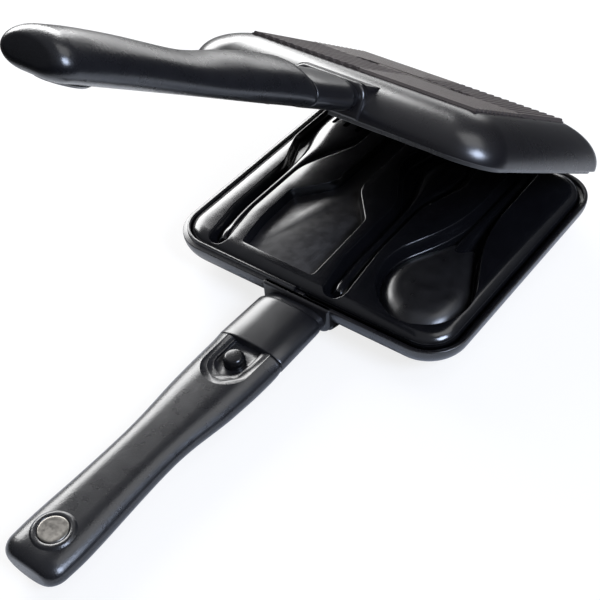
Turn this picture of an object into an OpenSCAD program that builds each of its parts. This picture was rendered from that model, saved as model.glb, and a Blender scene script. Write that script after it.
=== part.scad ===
// Pie iron: two identical domed cast pans on a double hook hinge, each with a moulded neck
// and a plug-on handle held by a push-button catch, and a utensil tray in the lower pan.
// Origin: middle of the lower pan's griddle plate, on the plane of its ridge tops.
// +Y points to the hinge, -Y to the handles, +Z up. Millimetres.

/* [Pans] */
// Width of a pan over its rim
pan_w = 185; // [183:1:187]
// Length of a pan over its rim, handle side to hinge side
pan_l = 171; // [170:1:173]
// Plan radius of the rim's corners
pan_corner_r = 23; // [21:1:25]
// Depth of one pan, from its ridge tops to the parting plane
half_h = 22.5; // [22.5:0.5:24]
// Height of the vertical band under the rim
rim_band = 1.1; // [0.8:0.1:1.5]
// How far the domed wall runs inward
dome_run = 30.9; // [29.5:0.1:32]
// Wall thickness of the dome
wall_t = 2.7; // [2.4:0.1:3]
// Thickness of the rim
rim_t = 4.4; // [4.2:0.1:4.4]
// How far each rim stays short of the parting plane
rim_gap = 0.1; // [0.05:0.05:0.2]

/* [Griddle plate] */
// Width of the ridged plate
plate_w = 135.4; // [130:0.1:137]
// Length of the ridged plate
plate_l = 121.4; // [116:0.1:123]
// How far the plate's middle lies toward the handle
plate_shift = 0.7; // [0:0.1:1]
// Height of the ridges above their grooves
ridge_h = 1.3; // [1:0.1:1.4]
// Ridges across each quarter whose ridges run lengthways
ridges_across = 14; // [10:1:16]
// Ridges along each quarter whose ridges run crossways
ridges_along = 12; // [9:1:14]
// Share of the pitch that a ridge's flat top takes
ridge_top = 0.46; // [0.4:0.01:0.6]
// Share of the pitch that a ridge's foot takes
ridge_foot = 0.76; // [0.65:0.01:0.85]
// Length of the round-ended recess in the plate's middle
recess_l = 64; // [50:1:70]
// Width of that recess
recess_w = 12; // [10:1:14]
// Length of the flush bar in the recess
bar_l = 46; // [30:1:50]
// Width of the flush bar
bar_w = 3; // [2:0.5:4]
// Depth of the recess
recess_d = 1.6; // [1.3:0.1:1.8]

/* [Rim seal] */
// Distance of the raised lip from the rim's edge
lip_in = 2.8; // [2.7:0.1:2.9]
// Height of the lip above the parting plane
lip_h = 2; // [1.5:0.1:2]
// Distance of the rebate's wall from the rim's edge
rebate_in = 2.3; // [2.2:0.1:2.4]
// Depth of the rebate
rebate_h = 2.4; // [2.3:0.1:2.6]
// Distance of the lip's ends from the middle plane
lip_start = 3; // [2:0.5:5]

/* [Hinge] */
// Angle between the two pans as they stand
open_angle = 33.46; // [5:0.01:90]
// Distance of the hinge axis behind the rim
hinge_out = 13.9; // [13:0.1:15]
// Radius of the hinge pins
pin_r = 2.5; // [2:0.1:2.8]
// Radial running clearance of pins and buttons
run_fit = 0.05; // [0.03:0.01:0.08]
// Radius of the knuckles round the pins
knuckle_r = 5.5; // [5:0.1:6]
// Distance of the hooks from the middle plane
hook_x = 44; // [40:1:50]
// Width of a hook
hook_w = 8; // [6:1:9]
// Thickness of a pin lug
lug_t = 4; // [3:0.5:5]
// Gap between the two lugs of a pin
lug_gap = 10; // [9.5:0.5:12]

/* [Neck] */
// Half width of the cast boss that carries the neck
boss_half_w = 22; // [21:0.5:23]
// How far the boss stands out of the rim
boss_out = 1.2; // [1:0.1:2]
// Distance from the rim to the joint between neck and handle
neck_l = 40.2; // [38:0.1:44]
// How far the flat inner faces lie below the parting plane
face_drop = 1.4; // [1.2:0.1:1.8]
// Half width of the spigot that enters the handle
spigot_half_w = 14; // [13.5:0.1:14.5]
// Length of the spigot
spigot_l = 34; // [32:1:36]
// Diameter of the screw that holds the neck
screw_d = 6; // [5:1:6]

/* [Handle] */
// Half width of the flat strip along the inner face
flat_half = 11; // [9:0.5:12]
// Distance from the joint to the handle's tip
handle_l = 160.5; // [158:0.5:163]
// Distance from the tip to the magnet
magnet_back = 19.4; // [18:0.1:22]
// Diameter of the magnet
magnet_d = 15; // [13:0.5:16]

/* [Catch button] */
// Diameter of the button
button_d = 11.6; // [11:0.1:12]
// Distance from the joint to the button
button_back = 12.3; // [12:0.1:13]
// How far the button goes in
button_travel = 6.6; // [6:0.1:6.6]
// Outer diameter of the button's spring
spring_d = 7.4; // [7:0.1:7.6]

/* [Utensil tray] */
// Width of the tray
tray_w = 174; // [170:1:174]
// Length of the tray
tray_l = 161.2; // [158:0.2:161.2]
// Height of the tray's top above the parting plane
tray_rise = 4.5; // [3:0.1:4.5]
// How far the tray's rounded shoulder runs inward
shoulder_run = 5; // [3.5:0.5:5.5]
// How far that shoulder falls from the tray's top
shoulder_fall = 3.4; // [2.4:0.2:3.6]
// Thickness of the tray's walls
tray_wall = 1.6; // [1.2:0.1:2]
// Depth of the utensil pockets
pocket_h = 8.5; // [8:0.5:9]
// Draft of the pocket walls in degrees
pocket_draft = 12; // [10:1:14]

/* [Hidden] */

COATING = "#1b1b1e";
MOULDING = "#232326";
STEEL = "silver";

// Points of the curves
corner_n = 8;      // steps round a plan corner
dome_n = 8;        // steps down the dome
under_n = 18;      // steps round the underside of a grip section
shoulder_n = 6;    // steps round a shoulder of a grip section
eps = 0.5;         // overlap that joins solids and clears cuts
$fn = 48;

// Main levels and places
band_z = half_h - rim_gap - rim_band;   // foot of the rim's vertical band
dome_rise = band_z - ridge_h + 0.5;     // the dome would end half a millimetre under the grooves
cavity_rise = dome_rise - wall_t - 0.2;
plate_y = -plate_shift;
hinge_y = pan_l/2 + hinge_out;
floor_z = band_z - cavity_rise;         // inside floor of the pan
plate_top = floor_z - 0.3;
boss_y = -(pan_l/2 + boss_out);
split_y = -(pan_l/2 + neck_l);
screw_seat_y = split_y + 16;            // the screw's washer bears here
washer_h = 1.2;
thread_h = 6;                           // how deep the screw enters the boss
dowel_x = 14;                           // the two dowels beside the screw
dowel_r = 1.9;
dowel_h = 2.6;
tip_y = split_y - handle_l;
face_z = half_h - face_drop;
neck_t = 16.2;                          // depth of the neck's section
shoulder_share = 0.39;                  // share of a section's depth above its widest line
spigot_top = face_z - 5.4;              // the handle's socket roof rests on it
spigot_mid = spigot_top - 3.7;
spigot_drop = 8.4;                      // depth of the rounded part under spigot_mid
socket_fit = 0.2;                       // free space round the spigot
button_y = split_y - button_back;
button_top = half_h - 0.2;
well_z = face_z - 4.1;                  // floor of the arched well round the button
flange_z = spigot_top - 1.4;            // underside of the lip that keeps the button in
flange_h = 1.4;
flange_r = 7.3;
barrel_r = 7.5;                         // bore that the button's flange runs in
seat_h = 1.2;
seat_z = flange_z - flange_h - button_travel - seat_h - 0.1;
spring_top = button_top - 2.2;
magnet_y = tip_y + magnet_back;
magnet_top = half_h - 0.3;
magnet_h = 4;
tray_z = half_h + tray_rise;
tray_base = tray_z - pocket_h - tray_wall;

// ---------------------------------------------------------------- curves and solids

// Rounded rectangle of half sizes hw, hl and corner radius r, counter-clockwise
function rounded(hw, hl, r) = [
    for (c = [[1, -1, -90], [1, 1, 0], [-1, 1, 90], [-1, -1, 180]], i = [0 : corner_n])
        let (a = c[2] + 90*i/corner_n)
        [c[0]*(hw - r) + r*cos(a), c[1]*(hl - r) + r*sin(a)]];

function lift(ring, z) = [for (p = ring) [p[0], p[1], z]];

// Closed solid through rings of equal length, given in the direction that they face
module skin(rings) {
    n = len(rings[0]);
    last = (len(rings) - 1)*n;
    polyhedron(
        points = [for (ring = rings, p = ring) p],
        faces = concat(
            [[for (i = [0 : n - 1]) i]],
            [[for (i = [n - 1 : -1 : 0]) last + i]],
            [for (k = [0 : len(rings) - 2], i = [0 : n - 1])
                [k*n + i, (k + 1)*n + i, (k + 1)*n + (i + 1)%n, k*n + (i + 1)%n]]),
        convexity = 6);
}

function unit(v) = v/norm(v);
function cross2(u, v) = u[0]*v[1] - u[1]*v[0];

// Moves the sides of a corner list [x, y, radius] inward by d and fits its radii
function inset(pts, d) = let (m = len(pts)) [
    for (i = [0 : m - 1])
        let (b = [pts[i][0], pts[i][1]],
             a = pts[(i + m - 1)%m],
             c = pts[(i + 1)%m],
             u = unit(b - [a[0], a[1]]),
             v = unit([c[0], c[1]] - b),
             normals = [-u[1] - v[1], u[0] + v[0]],
             p = b + normals*d/(1 + u*v))
        [p[0], p[1], max(0.6, pts[i][2] + (cross2(u, v) > 0 ? -d : d))]];

// Outline through a corner list, each corner an arc of its own radius in n steps
function filleted(pts, n = 6) = let (m = len(pts)) [
    for (i = [0 : m - 1])
        let (b = [pts[i][0], pts[i][1]],
             a = pts[(i + m - 1)%m],
             c = pts[(i + 1)%m],
             u = unit(b - [a[0], a[1]]),
             v = unit([c[0], c[1]] - b),
             s = cross2(u, v) > 0 ? 1 : -1,
             angle = acos(u*v),
             start = b - u*pts[i][2]*tan(angle/2),
             centre = start + s*pts[i][2]*[-u[1], u[0]],
             from = start - centre)
        for (k = [0 : n])
            let (w = s*angle*k/n)
            centre + [from[0]*cos(w) - from[1]*sin(w), from[0]*sin(w) + from[1]*cos(w)]];

// Power curve that squares off a circle; 2 gives the circle back
function squared(v, power) = sign(v)*pow(abs(v), 2/power);

// Section of neck and handle: flat inner face, elliptical shoulders, rounded underside
// w half width, t depth, drop of the flat face, power of the underside's curve
function grip_section(w, t, drop, power) =
    let (mid = face_z - drop - shoulder_share*t,
         flat = min(flat_half, w - 5),
         rise = shoulder_share*t,
         sink = (1 - shoulder_share)*t)
    concat(
        [for (i = [0 : under_n - 1])
            let (a = 180 + 180*i/under_n)
            [w*squared(cos(a), power), mid + sink*squared(sin(a), power)]],
        [for (i = [0 : shoulder_n])
            [flat + (w - flat)*cos(90*i/shoulder_n), mid + rise*sin(90*i/shoulder_n)]],
        [for (i = [0 : shoulder_n - 1])
            [-flat - (w - flat)*sin(90*i/shoulder_n), mid + rise*cos(90*i/shoulder_n)]]);

// Solid through grip sections at stations [y, w, t, drop], from the pan toward the tip
module grip_loft(stations, power) {
    skin([for (s = stations) [for (p = grip_section(s[1], s[2], s[3], power)) [p[0], s[0], p[1]]]]);
}

// Turns what is drawn in the lower half's place into the upper half's
module as_upper() {
    translate([0, hinge_y, half_h])
        rotate([-open_angle, 0, 0])
            translate([0, -hinge_y, half_h])
                rotate([0, 180, 0])
                    children();
}

// ---------------------------------------------------------------- pan

function pan_ring(in, r, z) = lift(rounded(pan_w/2 - in, pan_l/2 - in, r), z);
function shell_r(in) = pan_corner_r - 0.4*in;
function cavity_r(in) = shell_r(in - rim_t) - rim_t;

// Outer form: rim band over a quarter-elliptical dome
module pan_shell() {
    rim_edge = 0.4;
    end = asin((band_z - ridge_h)/dome_rise);
    skin(concat(
        [for (i = [dome_n : -1 : 0])
            let (a = end*i/dome_n, in = dome_run*(1 - cos(a)))
            pan_ring(in, shell_r(in), band_z - dome_rise*sin(a))],
        [pan_ring(0, pan_corner_r, half_h - rim_gap - rim_edge),
         pan_ring(rim_edge, pan_corner_r, half_h - rim_gap)]));
}

// Inside of the pan, open at the top
module pan_cavity() {
    run = dome_run - wall_t;
    start = acos((dome_run - rim_t)/run);
    skin(concat(
        [for (i = [dome_n : -1 : 0])
            let (a = start + (90 - start)*i/dome_n, in = dome_run - run*cos(a))
            pan_ring(in, cavity_r(in), band_z - cavity_rise*sin(a))],
        [pan_ring(rim_t, cavity_r(rim_t), half_h + eps)]));
}

// One straight ridge of length l along Y, its flat top at z = 0
module ridge(l, pitch) {
    top = pitch*ridge_top/2;
    foot = pitch*ridge_foot/2;
    translate([0, l/2, 0])
        rotate([90, 0, 0])
            linear_extrude(l)
                polygon([[-top, 0], [top, 0], [foot, ridge_h + 0.2], [-foot, ridge_h + 0.2]]);
}

// A row of ridges that fills a w by l field, centred, running along Y
module ridge_field(w, l, count) {
    pitch = w/count;
    for (i = [0 : count - 1])
        translate([pitch*(i + 0.5) - w/2, 0, 0]) ridge(l, pitch);
}

module stadium(l, w, h) {
    linear_extrude(h) {
        for (s = [-1, 1]) translate([s*(l - w)/2, 0]) circle(w/2);
        square([l - w, w], center = true);
    }
}

// Basket weave of four ridge fields on a plate
module griddle() {
    w = plate_w/2;
    l = plate_l/2;
    translate([0, plate_y, 0]) {
        translate([-w, -l, ridge_h]) cube([plate_w, plate_l, plate_top - ridge_h]);
        for (s = [-1, 1]) {
            translate([s*w/2, -s*l/2, 0]) ridge_field(w, l, ridges_across);
            translate([s*w/2, s*l/2, 0]) rotate([0, 0, 90]) ridge_field(l, w, ridges_along);
        }
    }
}

// Prism of the rim's outline, moved inward
module rim_prism(in, z, h) {
    translate([0, 0, z])
        linear_extrude(h) polygon(rounded(pan_w/2 - in, pan_l/2 - in, pan_corner_r - in));
}

// Everything on one side of the middle plane, clear of it by lip_start
module side_block(side, clear) {
    translate([side > 0 ? clear : -clear - pan_w, -pan_l, 0]) cube([pan_w, 2*pan_l, 2*half_h]);
}

module rim_lip() {
    lip_z = half_h - rim_gap - eps;
    intersection() {
        difference() {
            rim_prism(lip_in, lip_z, lip_h + rim_gap + eps);
            rim_prism(rim_t, lip_z - eps, lip_h + 4*eps);
        }
        side_block(-1, lip_start);
    }
}

module rim_rebate() {
    intersection() {
        difference() {
            rim_prism(rebate_in, half_h - rebate_h, rebate_h + eps);
            rim_prism(rim_t + eps, half_h - rebate_h - eps, rebate_h + 3*eps);
        }
        side_block(1, lip_start - 0.5);
    }
}

// Arm from the pan's back wall to a knuckle on the hinge axis
module hinge_arm(x, w) {
    arm_top = half_h - 0.4;
    root_y = pan_l/2 - 4;
    translate([x - w/2, 0, 0]) rotate([90, 0, 90]) linear_extrude(w)
        polygon([[root_y, half_h - 12], [root_y, arm_top], [hinge_y, arm_top],
                 [hinge_y, half_h - knuckle_r], [hinge_y - 3, half_h - knuckle_r]]);
    translate([x - w/2, hinge_y, half_h]) rotate([0, 90, 0]) cylinder(r = knuckle_r, h = w);
}

module hinge_bore(x, w, r) {
    translate([x - w/2 - eps, hinge_y, half_h]) rotate([0, 90, 0]) cylinder(r = r, h = w + 2*eps);
}

// Cast boss that carries the neck, flush with the rim
module neck_boss() {
    flat_z = half_h - rim_gap;
    low_z = 4.8;
    r = 7;
    translate([0, boss_y, 0]) rotate([-90, 0, 0]) mirror([0, 1, 0]) linear_extrude(20)
        polygon(filleted([
            [-boss_half_w, low_z, r], [boss_half_w, low_z, r],
            [boss_half_w, flat_z, 0.6], [-boss_half_w, flat_z, 0.6]], 5));
}

module pan() {
    color(COATING) {
        difference() {
            union() {
                difference() {
                    union() {
                        pan_shell();
                        neck_boss();
                        for (s = [-1, 1]) hinge_arm(-hook_x + s*(lug_gap + lug_t)/2, lug_t);
                        hinge_arm(hook_x, hook_w);
                    }
                    pan_cavity();
                    rim_rebate();
                }
                rim_lip();
                griddle();
            }
            translate([0, 0, -eps]) stadium(recess_l, recess_w, recess_d + eps);
            hinge_bore(-hook_x, lug_gap + 2*lug_t, pin_r);
            // bore of the hook and its mouth
            hinge_bore(hook_x, hook_w, pin_r + run_fit);
            translate([hook_x - hook_w/2 - eps, hinge_y, half_h - pin_r - run_fit])
                cube([hook_w + 2*eps, 2*knuckle_r, 2*(pin_r + run_fit)]);
            // screw and dowel holes of the neck
            translate([0, boss_y - eps, spigot_mid]) rotate([-90, 0, 0])
                cylinder(d = screw_d, h = thread_h + 1 + eps);
            for (s = [-1, 1]) translate([s*dowel_x, boss_y - eps, spigot_mid]) rotate([-90, 0, 0])
                cylinder(r = dowel_r + 0.1, h = dowel_h + 0.4 + eps);
        }
        // plain bar in the recess, flush with the ridges
        translate([-bar_l/2, -bar_w/2, 0]) cube([bar_l, bar_w, plate_top]);
    }
}

module hinge_pin() {
    color(STEEL) translate([-hook_x - lug_gap/2 - lug_t, hinge_y, half_h]) rotate([0, 90, 0])
        cylinder(r = pin_r, h = lug_gap + 2*lug_t);
}

// ---------------------------------------------------------------- neck and its catch

// Spigot's solid, grown by gap at its sides and underside
module spigot_form(gap, l) {
    w = spigot_half_w + gap;
    sink = spigot_drop + gap;
    translate([0, split_y, 0]) rotate([90, 0, 0]) linear_extrude(l)
        polygon(concat(
            [for (i = [0 : under_n]) let (a = 180 + 180*i/under_n)
                [w*cos(a), spigot_mid + sink*sin(a)]],
            [[w, spigot_top - 1], [w - 1, spigot_top], [1 - w, spigot_top], [-w, spigot_top - 1]]));
}

module neck() {
    root_drop = 2;
    color(MOULDING) difference() {
        union() {
            grip_loft([
                [boss_y, 19, neck_t - root_drop, root_drop],
                [boss_y - 3.6, 19, neck_t - root_drop, root_drop],
                [boss_y - 5, 20, neck_t - 0.6, 0.4],
                [boss_y - 6.4, 20.3, neck_t, 0],
                [boss_y - 20, 20.6, neck_t, 0],
                [split_y + 0.6, 20.9, neck_t, 0],
                [split_y, 20.3, neck_t - 1, 0.5]], 2.6);
            translate([0, eps, 0]) spigot_form(0, spigot_l + eps);
            for (s = [-1, 1]) translate([s*dowel_x, boss_y + dowel_h, spigot_mid])
                rotate([90, 0, 0]) cylinder(r = dowel_r, h = dowel_h + eps);
        }
        // way of the screw, its head's bearing and the way in from the spigot's end
        translate([0, boss_y + eps, spigot_mid]) rotate([90, 0, 0])
            cylinder(d = screw_d + 0.6, h = neck_l);
        translate([0, screw_seat_y, spigot_mid]) rotate([90, 0, 0])
            cylinder(d = screw_d*1.7 + 0.8, h = screw_seat_y - split_y + spigot_l + eps);
        // stepped barrel of the button, open at its foot
        translate([0, button_y, spigot_mid - spigot_drop - eps])
            cylinder(r = barrel_r, h = flange_z - spigot_mid + spigot_drop + eps);
        translate([0, button_y, flange_z - eps])
            cylinder(r = button_d/2 + run_fit, h = spigot_top - flange_z + 2*eps);
    }
}

module neck_screw() {
    head_y = screw_seat_y - washer_h;
    color(STEEL) difference() {
        union() {
            translate([0, boss_y + thread_h, spigot_mid]) rotate([90, 0, 0])
                cylinder(d = screw_d, h = boss_y + thread_h - head_y + eps);
            translate([0, head_y, spigot_mid]) rotate([90, 0, 0])
                cylinder(d = screw_d*1.6, h = screw_d);
        }
        // hexagon socket
        translate([0, head_y - screw_d - eps, spigot_mid]) rotate([-90, 0, 0])
            cylinder(d = screw_d*0.95, h = 3.5, $fn = 6);
    }
}

module screw_washer() {
    color(STEEL) translate([0, screw_seat_y, spigot_mid]) rotate([90, 0, 0]) difference() {
        cylinder(d = screw_d*1.7 + 0.4, h = washer_h);
        translate([0, 0, -eps]) cylinder(d = screw_d + 0.3, h = washer_h + 2*eps);
    }
}

// Glossy button, hollow for its spring, with the flange that keeps it in the spigot
module button() {
    top_r = 4.4;
    edge = 0.8;
    color("#0e0e10") translate([0, button_y, 0]) rotate_extrude() polygon([
        [spring_d/2 + 0.2, flange_z - flange_h], [flange_r, flange_z - flange_h],
        [flange_r, flange_z], [button_d/2, flange_z],
        [button_d/2, button_top - 2.6], [top_r + edge, button_top - 0.6],
        [top_r, button_top], [0, button_top],
        [0, spring_top], [spring_d/2 + 0.2, spring_top]]);
}

// The spring is out of sight, so it is a plain sleeve of the coil's size
module button_spring() {
    wire = 0.8;
    color(STEEL) translate([0, button_y, seat_z + seat_h]) difference() {
        cylinder(d = spring_d, h = spring_top - seat_z - seat_h);
        translate([0, 0, -eps]) cylinder(d = spring_d - 2*wire, h = spring_top - seat_z + eps);
    }
}

// Disc pressed into the barrel under the spring
module spring_seat() {
    color(MOULDING) translate([0, button_y, seat_z]) cylinder(r = barrel_r, h = seat_h);
}

// ---------------------------------------------------------------- handle

// Arch with a flat end on the joint and a round end toward the tip
module arch(w, end_y, z, h) {
    r = w;
    translate([0, 0, z]) linear_extrude(h) {
        translate([0, end_y + r]) circle(r);
        translate([-w, end_y + r]) square([2*w, split_y + 2*eps - end_y - r]);
    }
}

module handle() {
    // rounded ends: each station's share of the end's radius
    end_w = 9;
    end_t = 5;
    tip = [for (a = [0 : 15 : 90])
        [tip_y + end_w*(1 - sin(a)), 17.9 - end_w*0.8*(1 - cos(a)),
         18 - 2*end_t*(1 - cos(a)), end_t*(1 - cos(a))]];
    magnet_ring = 9.8;
    color(MOULDING) difference() {
        union() {
            grip_loft(concat([
                [split_y, 20.3, 15.6, 0.5],
                [split_y - 0.6, 20.9, 16.8, 0],
                [split_y - 1.8, 20.9, 18.4, 0],
                [split_y - 4, 20.9, 19.6, 0],
                [split_y - 8, 20.8, 20, 0],
                [-145, 20.6, 20, 0],
                [-156, 20.1, 19.5, 0],
                [-167, 19.4, 18.9, 0],
                [-178, 18.2, 17.8, 0],
                [-189, 17, 16.7, 0],
                [-200, 16.3, 16.2, 0],
                [-212, 16.2, 16.5, 0],
                [-225, 16.5, 17.2, 0],
                [-240, 17.1, 18, 0],
                [-256, 17.9, 18.4, 0],
                [-268, 18.2, 18.4, 0]], tip), 2);
            // boss round the magnet
            translate([0, magnet_y, face_z - 2])
                cylinder(r1 = magnet_ring + 1, r2 = magnet_ring, h = half_h - 0.6 - face_z + 2);
        }
        translate([0, magnet_y, magnet_top - magnet_h])
            cylinder(d = magnet_d + 0.1, h = magnet_h + eps);
        // finger nick beside the magnet
        translate([magnet_d/2, magnet_y, magnet_top - 1]) cylinder(r = 1.6, h = 2);
        // socket of the spigot, its roof resting on the spigot
        translate([0, eps, 0]) spigot_form(socket_fit, spigot_l + socket_fit + eps);
        // stepped arch and the well that the button stands in
        arch(14, -157.5, face_z - 0.8, 4);
        arch(11, -153.5, face_z - 1.6, 4);
        arch(8.8, -149.5, well_z, 6);
        translate([0, button_y, spigot_top - eps])
            cylinder(r = button_d/2 + 4*run_fit, h = well_z - spigot_top + 2*eps);
    }
}

module magnet() {
    edge = 0.5;
    color("#d8d6d0") translate([0, magnet_y, magnet_top - magnet_h]) rotate_extrude() polygon([
        [0, 0], [magnet_d/2, 0], [magnet_d/2, magnet_h - edge],
        [magnet_d/2 - edge, magnet_h], [0, magnet_h]]);
}

// ---------------------------------------------------------------- utensil tray

// Pocket outlines at the tray's top as corners [x, y, radius], counter-clockwise
spatula_pocket = [
    [0.7, -71.5, 2.5], [-1.5, -18, 8], [-20.5, 4, 18], [-21.5, 73, 3], [-35, 73, 3],
    [-35.5, 2, 18], [-53.4, -19, 7], [-52.5, -48, 60], [-48.3, -70.2, 2.5]];
fork_pocket = [
    [-54.8, -75.2, 6], [-60.4, -45, 50], [-60.2, 2, 30], [-46, 36, 12], [-45.5, 73, 5],
    [-83.3, 73, 9], [-83.3, 27, 14], [-74.6, 2, 30], [-74.6, -50, 40], [-67, -75.2, 6]];
brush_pocket = [
    [24.5, -75.2, 6], [19.6, -35, 60], [19.4, 8, 25], [30, 38, 25], [25, 73, 14],
    [-7, 73, 14], [-15, 38, 25], [5.5, 4, 25], [6, -48, 40], [12, -75.2, 6]];
spoon_pocket = [
    [45.7, 73, 5], [45.6, 9, 45], [24.5, -34, 12], [32.5, -63, 34], [57, -76.5, 20],
    [79, -66, 22], [84, -42, 13], [60.3, 8, 60], [59.3, 73, 5]];
POCKETS = [spatula_pocket, fork_pocket, brush_pocket, spoon_pocket];
FEET = [[-40, -42], [45, -42], [-28.3, 40], [52.5, 40]];
tray_draft = 1.6;     // how far the skirt's lower edge lies inside its upper one

// Pocket from its floor up, drafted; grow widens it, deeper lowers its floor
module pocket_form(pts, grow, deeper, over) {
    slope = tan(pocket_draft);
    floor_z = tray_z - pocket_h - deeper;
    skin([
        lift(filleted(inset(pts, pocket_h*slope - grow)), floor_z),
        lift(filleted(inset(pts, -over*slope - grow)), tray_z + over)]);
}

// Tray outline at a level, moved inward
function tray_ring(in, z) = lift(rounded(tray_w/2 - in, tray_l/2 - in, 18 - in*0.8), z);

module tray_outside() {
    skin(concat(
        [tray_ring(tray_draft, tray_base), tray_ring(0, half_h)],
        [for (a = [0 : 22.5 : 90])
            tray_ring(shoulder_run*(1 - cos(a)), tray_z - shoulder_fall*(1 - sin(a)))]));
}

module tray_inside() {
    skin([
        tray_ring(tray_draft + tray_wall, tray_base - eps),
        tray_ring(tray_wall, half_h),
        tray_ring(tray_wall + 0.2, tray_z - shoulder_fall),
        tray_ring(tray_wall + 0.4*shoulder_run, tray_z - tray_wall)]);
}

// Half-round rib along places [x, y] that keeps a utensil's handle off the floor, round at
// its back end, which comes first
module rest_rib(path) {
    r = 3.2;
    z = tray_z - pocket_h + 1.5;
    function ring(x, y, k) = concat(
        [[x + r*k, y, z - 2.5]],
        [for (a = [0 : 22.5 : 180]) [x + r*k*cos(a), y, z + r*k*sin(a)]],
        [[x - r*k, y, z - 2.5]]);
    skin(concat(
        [for (a = [75 : -15 : 15]) ring(path[0][0], path[0][1] + r*sin(a), cos(a))],
        [for (p = path) ring(p[0], p[1], 1)]));
}

// Rib between two tines of the fork
module tine_rib(x) {
    top = tray_z - 1;
    hull() for (y = [45, 75])
        translate([x, y, tray_base + 0.3]) {
            cylinder(r = 1.2, h = top - 1 - tray_base, $fn = 12);
            cylinder(r = 0.5, h = top - tray_base - 0.3, $fn = 12);
        }
}

// Domed floor of the spoon pocket
module spoon_dome() {
    rise = 4;
    sunk = 0.5;
    translate([55, -43, tray_z - pocket_h - sunk]) hull()
        skin([for (a = [0 : 15 : 75])
            [for (b = [0 : 12 : 348]) [23*cos(a)*cos(b), 26*cos(a)*sin(b), rise*sin(a)]]]);
}

// Foot that stands on the pan's floor
module tray_foot() {
    hull() {
        translate([0, 0, floor_z]) cylinder(r = 3.6, h = 1, $fn = 24);
        translate([0, 0, tray_base - 1]) cylinder(r = 4.6, h = 1 + tray_wall/2, $fn = 24);
    }
}

module utensil_tray() {
    color("#101012") difference() {
        union() {
            difference() {
                tray_outside();
                tray_inside();
            }
            for (p = POCKETS) pocket_form(p, tray_wall, tray_wall, -1);
            for (f = FEET) translate([f[0], f[1], 0]) tray_foot();
        }
        difference() {
            for (p = POCKETS) pocket_form(p, 0, 0, eps);
            rest_rib([[-67.5, 20], [-67.5, -47], [-62, -71.5]]);
            rest_rib([[12.5, 12], [13.6, -48], [17.5, -71.5]]);
            for (x = [-73.2, -64, -54.8]) tine_rib(x);
            spoon_dome();
        }
    }
}

// ---------------------------------------------------------------- nodes

pan();  // lower_pan
hinge_pin();  // lower_hinge_pin
neck();  // lower_neck
neck_screw();  // lower_neck_screw
screw_washer();  // lower_screw_washer
handle();  // lower_handle
button();  // lower_button
button_spring();  // lower_button_spring
spring_seat();  // lower_spring_seat
magnet();  // lower_magnet
as_upper() pan();  // upper_pan
as_upper() hinge_pin();  // upper_hinge_pin
as_upper() neck();  // upper_neck
as_upper() neck_screw();  // upper_neck_screw
as_upper() screw_washer();  // upper_screw_washer
as_upper() handle();  // upper_handle
as_upper() button();  // upper_button
as_upper() button_spring();  // upper_button_spring
as_upper() spring_seat();  // upper_spring_seat
as_upper() magnet();  // upper_magnet
utensil_tray();
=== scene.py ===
"""Looks of the pie iron: two coated cast pans, moulded grips and a utensil tray.

Sizes are millimetres in the lower pan's own frame unless a name ends in _m. The origin is
the middle of the griddle plate on its ridge tops, +Y points to the hinge and +Z up.
"""

import logging
import math
from dataclasses import dataclass, field
from enum import Enum
from typing import Iterable, Sequence

import bmesh
import bpy
import numpy as np
from mathutils import Matrix, Vector
from mathutils.geometry import delaunay_2d_cdt


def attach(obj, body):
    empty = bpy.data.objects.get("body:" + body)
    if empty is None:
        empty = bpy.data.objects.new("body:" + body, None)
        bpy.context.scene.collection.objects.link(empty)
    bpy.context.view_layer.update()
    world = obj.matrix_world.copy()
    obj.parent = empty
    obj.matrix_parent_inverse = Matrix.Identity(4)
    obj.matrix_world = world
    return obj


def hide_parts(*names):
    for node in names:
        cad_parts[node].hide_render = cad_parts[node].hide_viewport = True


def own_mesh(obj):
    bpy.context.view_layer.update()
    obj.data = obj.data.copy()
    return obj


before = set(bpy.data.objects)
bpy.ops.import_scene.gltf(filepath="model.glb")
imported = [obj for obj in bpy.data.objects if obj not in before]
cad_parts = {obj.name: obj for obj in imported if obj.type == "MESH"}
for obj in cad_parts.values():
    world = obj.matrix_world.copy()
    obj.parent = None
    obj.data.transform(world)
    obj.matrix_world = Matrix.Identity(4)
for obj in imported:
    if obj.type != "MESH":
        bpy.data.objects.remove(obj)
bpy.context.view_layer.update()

LOG = logging.getLogger("pie_iron")

Point2 = tuple[float, float]
Point3 = tuple[float, float, float]
Corner = tuple[float, float, float]
Face = tuple[int, ...]
Table = tuple[tuple[float, ...], ...]
Inputs = dict[int | str, object]

MM = 0.001
IMAGE_PX = 600
PARTING_Z = 22.5
HINGE_Y = 99.4
OPEN_ANGLE = math.radians(33.46)
FACE_Z = 21.1
SMOOTH_ANGLE = math.radians(50)
AXIS_R = 0.01
FINE_WELD = 0.001
TRAY_BODY = "tray"
WHITE = (1.0, 1.0, 1.0, 1.0)
PATCH_SPAN = (0.3, 0.7)


# ---------------------------------------------------------------- places


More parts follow.
